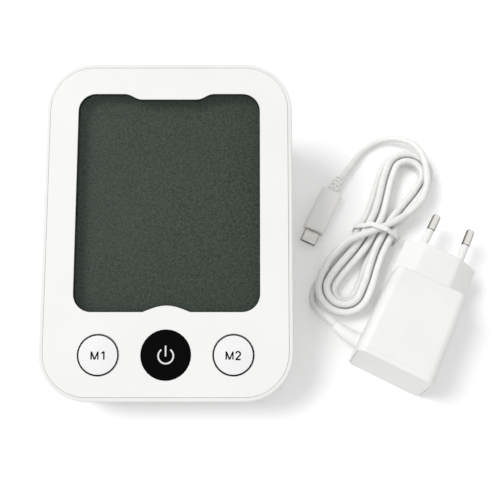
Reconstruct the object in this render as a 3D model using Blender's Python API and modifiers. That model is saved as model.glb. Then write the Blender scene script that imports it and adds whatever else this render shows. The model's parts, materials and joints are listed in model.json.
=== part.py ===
"""Talking blood pressure monitor with its mains adapter, as separate solids.

World frame: origin at the bottom centre of the monitor, +X to the user's right, +Y towards the top of
the display, +Z up. The face slopes: pieces of the face are built in a tilted frame whose origin is the
middle of the face's lower edge, with x across, y up the slope and z out of the face.
"""
import math

import bmesh
import bpy
from mathutils import Matrix, Vector

# Clearances
GAP = 0.0003
OVERRUN = 0.002

# Case
FACE_WIDTH = 0.1116
FACE_LENGTH = 0.152
FACE_CORNER = 0.0215
FACE_SLOPE = math.radians(14.5)
FRONT_HEIGHT = 0.022
RIM_WIDTH = 0.0019
RIM_ROUND = 0.0009
LEDGE_WIDTH = 0.001
SIDE_TAPER = 0.0028
END_TAPER = 0.0036
BASE_CORNER = 0.018
BASE_ROUND = 0.0025
WALL = 0.0026
FLOOR = 0.003
FOOT_HEIGHT = 0.0012
FOOT_RADIUS = 0.005
FRONT_FOOT_LENGTH = 0.060
FRONT_FOOT_INSET = 0.0095
BACK_FOOT_SIDE_INSET = 0.011
BACK_FOOT_INSET = 0.013

# Front cover
COVER_THICKNESS = 0.0022
WINDOW_SIDE = 0.0146
WINDOW_START = 0.0388
WINDOW_TOP = 0.0142
WINDOW_CORNER = 0.008
NOTCH_DEPTH = 0.0026
NOTCH_HALF = 0.0127
NOTCH_SLOPE = 0.0073
ARCH_HEIGHT = 0.00285
ARCH_HALF = 0.0105
ARCH_POWER = 1.05
LIP_DEPTH = 0.0036
LIP_WALL = 0.0014

# Buttons
BUTTON_ROW = 0.0202
BUTTON_PITCH = 0.0295
KEY_RADIUS = 0.00895
POWER_RADIUS = 0.0108
KEY_PROUD = 0.0002
KEY_EDGE = 0.0004
KEY_FLANGE = 0.00145
FLANGE_THICKNESS = 0.0012
KEY_STEM_RADIUS = 0.003
DOME_HEIGHT = 0.003
DOME_FOOT_RADIUS = 0.0055
DOME_TOP_RADIUS = 0.0034
DOME_WALL = 0.0008

# Display
LENS_THICKNESS = 0.0012
LENS_MARGIN = 0.0022
PAD_INSET = 0.0004
PAD_SUNK = 0.0009
PANEL_THICKNESS = 0.0028
FRAME_WALL = 0.0016
FRAME_LEDGE = 0.003
STRIP_WIDTH = 0.002
STRIP_LENGTH = 0.060

# Main board
BOARD_DEPTH = 0.011
BOARD_THICKNESS = 0.0016
BOARD_SCREW_ROOM = 0.005
BOARD_START = 0.008
BOARD_TOP = 0.011
EAR_TOP = 0.041
EAR_LENGTH = 0.008
EAR_INSET = 0.0052
CHIP_HEIGHT = 0.0014
CHIP_SIDE = 0.013
BOARD_SCREW_RADIUS = 0.0011
BOARD_SCREW_HEAD = 0.0021
BOARD_SCREW_HEAD_HEIGHT = 0.0012
BOARD_SCREW_LENGTH = 0.007
STANDOFF_RADIUS = 0.0023
PEG_PLACE = 0.012
PEG_PROUD = 0.0008

# Shell screws
SHELL_SCREW_SIDE = 0.0133
SHELL_SCREW_FRONT = 0.0105
SHELL_SCREW_RADIUS = 0.0015
SHELL_SCREW_LENGTH = 0.0113
SHELL_SCREW_HEAD = 0.0028
SHELL_SCREW_HEAD_HEIGHT = 0.0024
POST_RADIUS = 0.0042
POST_HEIGHT = 0.0087
COUNTERBORE_DEPTH = 0.0075
BOSS_RADIUS = 0.0032
PILOT_DEPTH = 0.0075

# Speaker
SPEAKER_RADIUS = 0.0175
SPEAKER_FRONT = 0.034
SPEAKER_HEIGHT = 0.0065
SPEAKER_RIM_HEIGHT = 0.002
MAGNET_RADIUS = 0.009
SPEAKER_RING_WALL = 0.0012
SPEAKER_RING_HEIGHT = 0.003
GRILLE_SLOTS = 5
GRILLE_PITCH = 0.0046
GRILLE_SLOT_WIDTH = 0.0022
GRILLE_SLOT_LENGTH = 0.022

# Pump
PUMP_RADIUS = 0.0098
PUMP_BAY_ROOM = 0.0035
PUMP_SIDE_ROOM = 0.0044
PUMP_HEAD_LENGTH = 0.0177
PUMP_MOTOR_LENGTH = 0.026
PUMP_HEAD_WALL = 0.0033
CRANK_SHAFT_RADIUS = 0.001
CRANK_THROW = 0.0012
CRANK_DISC_RADIUS = 0.0032
CRANK_DISC_LENGTH = 0.004
CRANK_IN_MOTOR = 0.007
PUMP_RISE = 0.0021
SADDLE_HEIGHT = 0.0074
SADDLE_WALL = 0.002
SADDLE_WIDTH = 0.018

# Air line
NIPPLE_RADIUS = 0.0019
NIPPLE_LENGTH = 0.003
NIPPLE_ENTRY = 0.0022
HOSE_RADIUS = 0.0022
AIR_LINE_BACK = 0.0205
MANIFOLD_SIDE = 0.009
AIR_HEIGHT = 0.0085
SENSOR_HEIGHT = 0.0028
SENSOR_SIDE = 0.006
VALVE_LENGTH = 0.014
VALVE_WIDTH = 0.012
VALVE_HEIGHT = 0.012
PLUNGER_RADIUS = 0.002
PLUNGER_INSIDE = 0.008
PLUNGER_HEAD_RADIUS = 0.0034
PLUNGER_HEAD_LENGTH = 0.0012
PLUNGER_TRAVEL = 0.0008
SPRING_LENGTH = 0.0028
SPRING_COIL_RADIUS = 0.0028
SPRING_WIRE = 0.00025
SPRING_TURNS = 3
SPRING_TURN_POINTS = 10
SOCKET_BORE = 0.0043
SOCKET_WALL = 0.0014
SOCKET_DEPTH = 0.0115
SOCKET_END = 0.004
SOCKET_FLANGE = 0.0018
SOCKET_FLANGE_LENGTH = 0.0014

# Battery bay
CELL_RADIUS = 0.0071
CELL_LENGTH = 0.0503
CELL_NUB_RADIUS = 0.0027
CELL_NUB_LENGTH = 0.001
CELL_PITCH = 0.0148
CELL_COUNT = 4
CONTACT_THICKNESS = 0.0005
CONTACT_HEIGHT = 0.011
BAY_BACK_ROOM = 0.0035
BAY_WALL = 0.0012
BAY_COVER_THICKNESS = 0.0022
BAY_COVER_LAP = 0.003
TONGUE_WIDTH = 0.0012
TONGUE_THICKNESS = 0.0012
GRIP_GROOVES = 3
GRIP_PITCH = 0.0035
GRIP_WIDTH = 0.0012
GRIP_DEPTH = 0.0004
GRIP_LENGTH = 0.022

# USB inlet
INLET_BACK = 0.012
INLET_WIDTH = 0.009
INLET_HEIGHT = 0.0032
INLET_LENGTH = 0.0072
INLET_MOUTH_WIDTH = 0.0084
INLET_MOUTH_HEIGHT = 0.0026
INLET_MOUTH_DEPTH = 0.0062
INLET_TONGUE_WIDTH = 0.0062
INLET_TONGUE_THICKNESS = 0.0006
INLET_TONGUE_LENGTH = 0.0048
PORT_WIDTH = 0.0128
PORT_HEIGHT = 0.007
SHELF_HEIGHT = 0.0042
SHELF_LENGTH = 0.008
USB_BOARD_THICKNESS = 0.0012
USB_BOARD_LENGTH = 0.011
USB_BOARD_WIDTH = 0.014

# Wires
LEAD_RADIUS = 0.0009
LEAD_PLUG_SIDE = 0.005

# Mains adapter, in its own frame: x across, y towards the pins, z up
ADAPTER_PLACE = Vector((0.1008, -0.0569, 0.0))
ADAPTER_TURN = math.radians(-27.0)
ADAPTER_LENGTH = 0.042
ADAPTER_WIDE_END = 0.0362
ADAPTER_PIN_END = 0.0345
ADAPTER_HEIGHT = 0.0275
ADAPTER_CORNER = 0.0042
ADAPTER_WALL = 0.002
END_CAP_THICKNESS = 0.0022
END_CAP_SLOPE = 0.0012
END_CAP_INSET = 0.0011
PLUG_BLOCK_LENGTH = 0.0183
PLUG_BLOCK_WIDTH = 0.0365
PLUG_BLOCK_HEIGHT = 0.0137
PLUG_BLOCK_FLAT = 0.0173
PIN_LENGTH = 0.019
PIN_RADIUS = 0.002
PIN_CORE_RADIUS = 0.0013
SLEEVE_RADIUS = 0.0019
SLEEVE_LENGTH = 0.010
SLEEVE_INSIDE = 0.001
PIN_INSIDE = 0.006
PIN_BASE_PITCH = 0.0186
PIN_TIP_PITCH = 0.0175
INNER_BOARD_WIDTH = 0.028
INNER_BOARD_LENGTH = 0.034
INNER_BOARD_THICKNESS = 0.0016
TRANSFORMER_SIDE = 0.014
TRANSFORMER_LENGTH = 0.016
CAPACITOR_RADIUS = 0.0045
CAPACITOR_LENGTH = 0.014
RELIEF_PLACE = 0.0055
RELIEF_HEIGHT = 0.010
RELIEF_LENGTH = 0.013
RELIEF_ROOT_RADIUS = 0.0036
RELIEF_TIP_RADIUS = 0.0025
RELIEF_BEND = math.radians(-22)
RELIEF_STEPS = 6

# USB-C plug, in its own frame: y from the plug's face towards the cord
USB_PLACE = Vector((0.0686, 0.0142, 0.0))
USB_TURN = math.radians(-26.0)
USB_BODY_WIDTH = 0.011
USB_BODY_HEIGHT = 0.0064
USB_BODY_LENGTH = 0.024
USB_SHELL_WIDTH = 0.00834
USB_SHELL_HEIGHT = 0.00256
USB_SHELL_LENGTH = 0.00665
USB_SHELL_WALL = 0.0003
USB_INSERT_LENGTH = 0.0063
USB_SLOT_WIDTH = 0.0065
USB_SLOT_HEIGHT = 0.00076
USB_SLOT_DEPTH = 0.0052
USB_RELIEF_LENGTH = 0.009
USB_RELIEF_ROOT_RADIUS = 0.0029
USB_RELIEF_TIP_RADIUS = 0.0024
USB_RELIEF_BEND = math.radians(-14)
USB_RELIEF_RIBS = 4
USB_RIB_DEPTH = 0.0005

# Cord and hank, in the hank's frame: x across, y along the runs, z up
CORD_RADIUS = 0.00175
CORD_CLEARANCE = 0.0007
TABLE_CLEARANCE = 0.0002
HANK_PLACE = Vector((0.1000, 0.0122, 0.0))
HANK_TURN = math.radians(-30.0)
HANK_TURNS = 3.75
HANK_END_TURN = 3.875
HANK_WAIST_HALF = 0.0086
HANK_TOP_HALF = 0.0134
HANK_BOTTOM_HALF = 0.0124
HANK_BEND = math.radians(2.0)
HANK_TOP_RUN = 0.0385
HANK_BOTTOM_RUN = 0.034
HANK_WAIST_STEP = 0.0043
HANK_HOLD = 0.15
LOOP_POINTS = 28
ARC_STEPS = 6
RUN_STEPS = 4
TIE_WIDTH = 0.0024
TIE_THICKNESS = 0.0008
TIE_CREST = 0.0038
TIE_TAIL = 0.002
TIE_TUCK_SHARE = 0.25
TIE_TURN = math.radians(9.0)
TIE_LIFT_REACH = 0.010

# Cord routes: hand-chosen points, in metres; those near the hank are in its frame
ADAPTER_LEAD = [(0.0688, -0.0280), (0.0672, -0.0215), (0.0690, -0.0145)]
PLUG_LEAD_UP = [(-0.0125, -0.0190, 0.0080), (-0.0098, -0.0120, 0.0106)]
PLUG_LEAD_OVER_HANK = [(-0.0050, -0.0060), (0.0000, 0.0000), (0.0045, 0.0065), (0.0085, 0.0140),
                       (0.0113, 0.0215), (0.0120, 0.0290), (0.0095, 0.0380)]
PLUG_LEAD_DOWN = [(0.0040, 0.0470, 0.0105), (-0.0045, 0.0530, 0.0098), (-0.0125, 0.0545, 0.0066),
                  (-0.0195, 0.0525, 0.0035), (-0.0250, 0.0460, 0.0022), (-0.0278, 0.0370, 0.0022)]

CORNER_STEPS = 10
ROUND_STEPS = 32
SMALL_STEPS = 16
FINE_STEPS = 16
WELD = 0.000005

# Values worked out from the sizes above
SLOPE_SIN = math.sin(FACE_SLOPE)
SLOPE_COS = math.cos(FACE_SLOPE)
FACE_EDGE_Y = -FACE_LENGTH * SLOPE_COS / 2
BASE_WIDTH = FACE_WIDTH - 2 * SIDE_TAPER
BASE_LENGTH = FACE_LENGTH * SLOPE_COS - 2 * END_TAPER
FRONT_FOOT_Y = FRONT_FOOT_INSET - BASE_LENGTH / 2
BACK_FOOT_X = BASE_WIDTH / 2 - BACK_FOOT_SIDE_INSET
BACK_FOOT_Y = BASE_LENGTH / 2 - BACK_FOOT_INSET
WINDOW_WIDTH = FACE_WIDTH - 2 * WINDOW_SIDE
WINDOW_LENGTH = FACE_LENGTH - WINDOW_START - WINDOW_TOP
SHELL_SCREW_X = FACE_WIDTH / 2 - SHELL_SCREW_SIDE
SHELL_SCREW_Y = SHELL_SCREW_FRONT - BASE_LENGTH / 2
BOARD_WIDTH = 2 * (SHELL_SCREW_X - BOARD_SCREW_ROOM)
BOARD_END = FACE_LENGTH - BOARD_TOP
EAR_PLACE = BOARD_END - EAR_TOP
EAR_REACH = FACE_WIDTH / 2 - EAR_INSET
BUTTON_SPOTS = ((-BUTTON_PITCH, KEY_RADIUS), (0.0, POWER_RADIUS), (BUTTON_PITCH, KEY_RADIUS))
FACE_EDGE_Z = FRONT_HEIGHT
BASE_Z = FOOT_HEIGHT + GAP
FLOOR_TOP = BASE_Z + FLOOR
LEDGE_DEPTH = COVER_THICKNESS + GAP
LENS_DEPTH = LIP_DEPTH + GAP
PANEL_DEPTH = LENS_DEPTH + LENS_THICKNESS + GAP
PANEL_BACK = PANEL_DEPTH + PANEL_THICKNESS
WINDOW_MIDDLE = WINDOW_START + WINDOW_LENGTH / 2
BOARD_BACK = BOARD_DEPTH + BOARD_THICKNESS
STANDOFF_X = EAR_REACH - STANDOFF_RADIUS
SPEAKER_Y = SPEAKER_FRONT - BASE_LENGTH / 2
PUMP_Z = FLOOR_TOP + PUMP_RISE + PUMP_RADIUS
PUMP_MOUTH_X = BASE_WIDTH / 2 - WALL - PUMP_SIDE_ROOM - PUMP_MOTOR_LENGTH - GAP - PUMP_HEAD_LENGTH
AIR_Z = FLOOR_TOP + AIR_HEIGHT
BAY_COVER_TOP = BASE_Z + BAY_COVER_THICKNESS
CELL_Z = BAY_COVER_TOP + GAP + CELL_RADIUS
BAY_TOP = CELL_Z + CELL_RADIUS + GAP
BAY_HALF = CELL_PITCH * (CELL_COUNT - 1) / 2 + CELL_RADIUS + 2 * GAP
BAY_LENGTH = CELL_LENGTH + CELL_NUB_LENGTH + 2 * CONTACT_THICKNESS + 4 * GAP
BAY_BACK = BASE_LENGTH / 2 - BAY_BACK_ROOM
BAY_FRONT = BAY_BACK - BAY_LENGTH
PUMP_Y = BAY_FRONT - BAY_WALL - PUMP_BAY_ROOM - PUMP_RADIUS
MANIFOLD_Y = PUMP_Y - AIR_LINE_BACK
INLET_Y = BAY_FRONT + INLET_BACK
CORD_PITCH = 2 * CORD_RADIUS + CORD_CLEARANCE
USB_BOARD_TOP = FLOOR_TOP + SHELF_HEIGHT + GAP + USB_BOARD_THICKNESS
INLET_Z = USB_BOARD_TOP + GAP + INLET_HEIGHT / 2
ADAPTER_MIDDLE = ADAPTER_HEIGHT / 2 + GAP
USB_Z = USB_BODY_HEIGHT / 2 + GAP

# Each chip: its place across and along, as shares of the board
CHIP_SHARES = (
    (-0.33, 0.60),
    (0.27, 0.72),
)

COLOURS = {
    "white_plastic": ((0.87, 0.87, 0.86), 0.42, 0.0),
    "black_plastic": ((0.02, 0.02, 0.02), 0.4, 0.0),
    "clear_lens": ((0.10, 0.12, 0.11), 0.08, 0.0),
    "display_glass": ((0.058, 0.072, 0.060), 0.35, 0.0),
    "circuit_board": ((0.02, 0.16, 0.07), 0.5, 0.0),
    "chip_black": ((0.03, 0.03, 0.03), 0.45, 0.0),
    "grey_silicone": ((0.30, 0.31, 0.32), 0.7, 0.0),
    "steel": ((0.62, 0.62, 0.60), 0.3, 1.0),
    "black_rubber": ((0.03, 0.03, 0.03), 0.8, 0.0),
    "cell_wrap": ((0.15, 0.17, 0.20), 0.4, 0.0),
    "air_hose": ((0.75, 0.75, 0.72), 0.5, 0.0),
    "wire_red": ((0.55, 0.03, 0.02), 0.5, 0.0),
    "adapter_white": ((0.86, 0.86, 0.85), 0.4, 0.0),
    "cord_white": ((0.84, 0.84, 0.84), 0.45, 0.0),
    "plug_grey": ((0.62, 0.62, 0.60), 0.5, 0.0),
    "copper_tape": ((0.60, 0.45, 0.12), 0.4, 0.0),
}


# Scene helpers

def clear_scene():
    """Remove every object and start with an empty scene."""
    for old in list(bpy.data.objects):
        bpy.data.objects.remove(old, do_unlink=True)


def new_collection(name):
    """Add a collection under the scene's own."""
    collection = bpy.data.collections.new(name)
    bpy.context.scene.collection.children.link(collection)
    return collection


def finish_material(name):
    """Return the named Principled material, made once."""
    material = bpy.data.materials.get(name)
    if material is None:
        colour, roughness, metallic = COLOURS[name]
        material = bpy.data.materials.new(name)
        material.use_nodes = True
        shader = material.node_tree.nodes["Principled BSDF"]
        shader.inputs["Base Color"].default_value = (*colour, 1.0)
        shader.inputs["Roughness"].default_value = roughness
        shader.inputs["Metallic"].default_value = metallic
    return material


def new_frame(name, place, turn):
    """Add an empty that carries pieces built in a turned frame."""
    frame = bpy.data.objects.new(name, None)
    frame.location = place
    frame.rotation_euler = turn
    PARTS.objects.link(frame)
    return frame


def place_object(name, data, finish, frame=None):
    """Link a mesh as a piece, with its finish and its carrying frame."""
    piece = bpy.data.objects.new(name, data)
    PARTS.objects.link(piece)
    piece.parent = frame
    data.materials.clear()
    data.materials.append(finish_material(finish))
    return piece


def mesh_from(bm, name):
    """Turn a bmesh into a mesh with outward faces and smooth round sides."""
    bmesh.ops.recalc_face_normals(bm, faces=bm.faces)
    mesh = bpy.data.meshes.new(name)
    bm.to_mesh(mesh)
    bm.free()
    mesh.shade_smooth()
    mesh.set_sharp_from_angle(angle=math.radians(35))
    return mesh


def as_tool(piece):
    """Keep a piece only as a guide for cutting or joining."""
    PARTS.objects.unlink(piece)
    CUTTERS.objects.link(piece)
    piece.hide_render = True
    piece.display_type = "WIRE"
    return piece


def combine(piece, operation, tools):
    """Add one live boolean to a piece for each tool."""
    for tool in tools:
        if tool.name in PARTS.objects:
            as_tool(tool)
        modifier = piece.modifiers.new(operation.lower(), "BOOLEAN")
        modifier.operation = operation
        modifier.object = tool
    return piece


def cut(piece, *tools):
    """Cut the tools out of a piece."""
    return combine(piece, "DIFFERENCE", tools)


def join(piece, *tools):
    """Fuse the tools to a piece."""
    return combine(piece, "UNION", tools)


# Shape helpers

def rounded_outline(width, length, radius, steps=CORNER_STEPS, centre=(0.0, 0.0)):
    """Points of a rectangle with round corners, anticlockwise."""
    points = []
    for quarter in range(4):
        along = math.radians(90 * quarter)
        side_x = 1 if quarter in (0, 3) else -1
        side_y = 1 if quarter in (0, 1) else -1
        corner_x = centre[0] + side_x * (width / 2 - radius)
        corner_y = centre[1] + side_y * (length / 2 - radius)
        for step in range(steps + 1):
            angle = along + math.radians(90) * step / steps
            points.append((corner_x + radius * math.cos(angle), corner_y + radius * math.sin(angle)))
    return points


def circle_outline(radius, centre=(0.0, 0.0), steps=ROUND_STEPS):
    """Points of a circle, anticlockwise."""
    turn = 2 * math.pi / steps
    return [(centre[0] + radius * math.cos(turn * step), centre[1] + radius * math.sin(turn * step))
            for step in range(steps)]


def curve_to_mesh(curve_object, name):
    """Convert a curve object to a welded mesh and remove the curve."""
    evaluated = curve_object.evaluated_get(bpy.context.evaluated_depsgraph_get())
    mesh = bpy.data.meshes.new_from_object(evaluated)
    bm = bmesh.new()
    bm.from_mesh(mesh)
    bmesh.ops.remove_doubles(bm, verts=bm.verts, dist=WELD)
    bpy.data.objects.remove(curve_object, do_unlink=True)
    bpy.data.meshes.remove(mesh)
    return mesh_from(bm, name)


def flat_mesh(name, outlines, low, high):
    """A plate between two levels: the first outline is its edge, the others are holes."""
    curve = bpy.data.curves.new(name, "CURVE")
    curve.dimensions = "2D"
    curve.fill_mode = "BOTH"
    curve.extrude = (high - low) / 2
    for outline in outlines:
        spline = curve.splines.new("POLY")
        spline.points.add(len(outline) - 1)
        for point, (x, y) in zip(spline.points, outline):
            point.co = (x, y, 0.0, 1.0)
        spline.use_cyclic_u = True
    holder = bpy.data.objects.new(name, curve)
    PARTS.objects.link(holder)
    mesh = curve_to_mesh(holder, name)
    for vertex in mesh.vertices:
        vertex.co.z += (high + low) / 2
    return mesh


def plate(name, outlines, low, high, finish, frame=None):
    """A flat piece between two levels of its frame."""
    return place_object(name, flat_mesh(name, outlines, low, high), finish, frame)


def block(name, low, high, finish, frame=None):
    """A box between two corners."""
    low = Vector(low)
    high = Vector(high)
    bm = bmesh.new()
    bmesh.ops.create_cube(bm, size=1.0)
    bmesh.ops.scale(bm, vec=high - low, verts=bm.verts)
    bmesh.ops.translate(bm, vec=(high + low) / 2, verts=bm.verts)
    return place_object(name, mesh_from(bm, name), finish, frame)


def round_edges(piece, width, segments=2):
    """Round the sharp edges of a piece."""
    modifier = piece.modifiers.new("round", "BEVEL")
    modifier.width = width
    modifier.segments = segments
    modifier.limit_method = "ANGLE"
    modifier.angle_limit = math.radians(50)
    return piece


def turned(name, profile, finish, frame=None, steps=ROUND_STEPS):
    """A solid of revolution about Z from (radius, height) points, outer side from top to bottom."""
    mesh = bpy.data.meshes.new(name)
    points = [(radius, 0.0, height) for radius, height in profile]
    edges = [(index, index + 1) for index in range(len(points) - 1)]
    if profile[0][0] > 0:
        edges.append((len(points) - 1, 0))
    mesh.from_pydata(points, edges, [])
    piece = place_object(name, mesh, finish, frame)
    screw = piece.modifiers.new("turn", "SCREW")
    screw.angle = 2 * math.pi
    screw.steps = steps
    screw.render_steps = steps
    screw.use_merge_vertices = True
    screw.merge_threshold = WELD
    screw.use_smooth_shade = True
    return piece


def rod(name, radius, start, end, finish, frame=None, steps=SMALL_STEPS):
    """A straight round bar between two points."""
    start = Vector(start)
    end = Vector(end)
    span = end - start
    bm = bmesh.new()
    bmesh.ops.create_cone(bm, cap_ends=True, segments=steps, radius1=radius,
                          radius2=radius, depth=span.length)
    turn = Vector((0, 0, 1)).rotation_difference(span)
    bmesh.ops.rotate(bm, cent=(0, 0, 0), matrix=turn.to_matrix(), verts=bm.verts)
    bmesh.ops.translate(bm, vec=(start + end) / 2, verts=bm.verts)
    return place_object(name, mesh_from(bm, name), finish, frame)


def tube(name, points, radius, finish, frame=None, resolution=2):
    """A cord, hose or wire: a bevelled curve through points, as a closed mesh."""
    curve = bpy.data.curves.new(name, "CURVE")
    curve.dimensions = "3D"
    curve.bevel_depth = radius
    curve.bevel_resolution = resolution
    curve.use_fill_caps = True
    spline = curve.splines.new("POLY")
    spline.points.add(len(points) - 1)
    for point, place in zip(spline.points, points):
        point.co = (*place, 1.0)
    holder = bpy.data.objects.new(name, curve)
    PARTS.objects.link(holder)
    return place_object(name, curve_to_mesh(holder, name), finish, frame)


def loft(name, rings, finish, frame=None):
    """A closed solid through rings of as many points each, with both ends capped."""
    bm = bmesh.new()
    rows = [[bm.verts.new(point) for point in ring] for ring in rings]
    for lower, upper in zip(rows, rows[1:]):
        for index in range(len(lower)):
            following = (index + 1) % len(lower)
            bm.faces.new((lower[index], lower[following], upper[following], upper[index]))
    bm.faces.new(rows[0])
    bm.faces.new(reversed(rows[-1]))
    return place_object(name, mesh_from(bm, name), finish, frame)


def smooth_route(controls, spacing):
    """Points at even steps along a smooth curve through the control points."""
    controls = [Vector(point) for point in controls]
    padded = [2 * controls[0] - controls[1]] + controls + [2 * controls[-1] - controls[-2]]
    fine = []
    for before, start, end, after in zip(padded, padded[1:], padded[2:], padded[3:]):
        for step in range(FINE_STEPS):
            share = step / FINE_STEPS
            fine.append(0.5 * (2 * start + (end - before) * share
                               + (2 * before - 5 * start + 4 * end - after) * share ** 2
                               + (3 * start - before - 3 * end + after) * share ** 3))
    fine.append(controls[-1])
    length = sum((b - a).length for a, b in zip(fine, fine[1:]))
    count = max(2, round(length / spacing))
    points = [fine[0]]
    walked = 0.0
    for a, b in zip(fine, fine[1:]):
        walked += (b - a).length
        if walked >= length * len(points) / count and len(points) < count:
            points.append(b)
    points.append(fine[-1])
    return points


# Case

def face_point(x, s, n):
    """World place of a point of the sloping face frame."""
    y = FACE_EDGE_Y + s * SLOPE_COS - n * SLOPE_SIN
    z = FACE_EDGE_Z + s * SLOPE_SIN + n * SLOPE_COS
    return Vector((x, y, z))


def face_height(y):
    """Height of the face above the table at a depth y."""
    return FACE_EDGE_Z + (y - FACE_EDGE_Y) * math.tan(FACE_SLOPE)


def face_ring(inset, depth):
    """The face's outline, drawn in by an inset and sunk by a depth."""
    outline = rounded_outline(FACE_WIDTH - 2 * inset, FACE_LENGTH - 2 * inset, FACE_CORNER - inset)
    return [face_point(x, y + FACE_LENGTH / 2, -depth) for x, y in outline]


def base_ring(inset, height):
    """The base's outline, drawn in by an inset, at a height."""
    outline = rounded_outline(BASE_WIDTH - 2 * inset, BASE_LENGTH - 2 * inset, BASE_CORNER - inset)
    return [Vector((x, y, height)) for x, y in outline]


def outer_rings():
    """Rings of the case's outside from the rim's crest to the base."""
    slant = math.sqrt(0.5)
    return [
        face_ring(RIM_ROUND, 0.0),
        face_ring(RIM_ROUND * (1 - slant), RIM_ROUND * (1 - slant)),
        face_ring(0.0, RIM_ROUND),
        base_ring(0.0, BASE_Z + BASE_ROUND),
        base_ring(BASE_ROUND * (1 - slant), BASE_Z + BASE_ROUND * (1 - slant)),
        base_ring(BASE_ROUND, BASE_Z),
    ]


def wall_x(y, z, inset):
    """Half width of the case at a place on its side wall, less an inset."""
    top = face_height(y) - RIM_ROUND
    low = BASE_Z + BASE_ROUND
    share = (z - low) / (top - low)
    return BASE_WIDTH / 2 + (FACE_WIDTH - BASE_WIDTH) / 2 * share - inset


def speaker_grille():
    """Cutters for the sound slots under the speaker."""
    first = -(GRILLE_SLOTS - 1) / 2
    slots = []
    for index in range(GRILLE_SLOTS):
        middle = SPEAKER_Y + (first + index) * GRILLE_PITCH
        slots.append(block(f"grille_slot_{index}",
                           (-GRILLE_SLOT_LENGTH / 2, middle - GRILLE_SLOT_WIDTH / 2, BASE_Z - OVERRUN),
                           (GRILLE_SLOT_LENGTH / 2, middle + GRILLE_SLOT_WIDTH / 2, FLOOR_TOP + OVERRUN),
                           "white_plastic"))
    return slots


def battery_cutters():
    """Cutters for the battery bay, the cover's slot and its tongue grooves."""
    front = BAY_FRONT - BAY_COVER_LAP
    behind = BASE_LENGTH / 2 + OVERRUN
    bay = block("bay_cutter", (-BAY_HALF, BAY_FRONT, BASE_Z - OVERRUN), (BAY_HALF, BAY_BACK, BAY_TOP),
                "white_plastic")
    slot = block("cover_slot", (-BAY_HALF, front, BASE_Z - OVERRUN),
                 (BAY_HALF, behind, BAY_COVER_TOP + GAP), "white_plastic")
    groove = block("tongue_groove",
                   (-BAY_HALF - TONGUE_WIDTH, front - TONGUE_WIDTH,
                    BAY_COVER_TOP - TONGUE_THICKNESS - GAP),
                   (BAY_HALF + TONGUE_WIDTH, behind, BAY_COVER_TOP + GAP), "white_plastic")
    return bay, slot, groove


def shell_posts():
    """Posts, counterbores and holes for the two shell screws."""
    posts = []
    bores = []
    for side in (-1, 1):
        x = side * SHELL_SCREW_X
        seat = BASE_Z + COUNTERBORE_DEPTH
        top = FLOOR_TOP + POST_HEIGHT
        posts.append(rod("post", POST_RADIUS, (x, SHELL_SCREW_Y, FLOOR_TOP - FLOOR / 2),
                         (x, SHELL_SCREW_Y, top), "white_plastic"))
        bores.append(rod("counterbore", SHELL_SCREW_HEAD + GAP, (x, SHELL_SCREW_Y, BASE_Z - OVERRUN),
                         (x, SHELL_SCREW_Y, seat), "white_plastic"))
        bores.append(rod("screw_hole", SHELL_SCREW_RADIUS + GAP, (x, SHELL_SCREW_Y, seat - OVERRUN),
                         (x, SHELL_SCREW_Y, top + OVERRUN), "white_plastic"))
    return posts, bores


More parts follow.
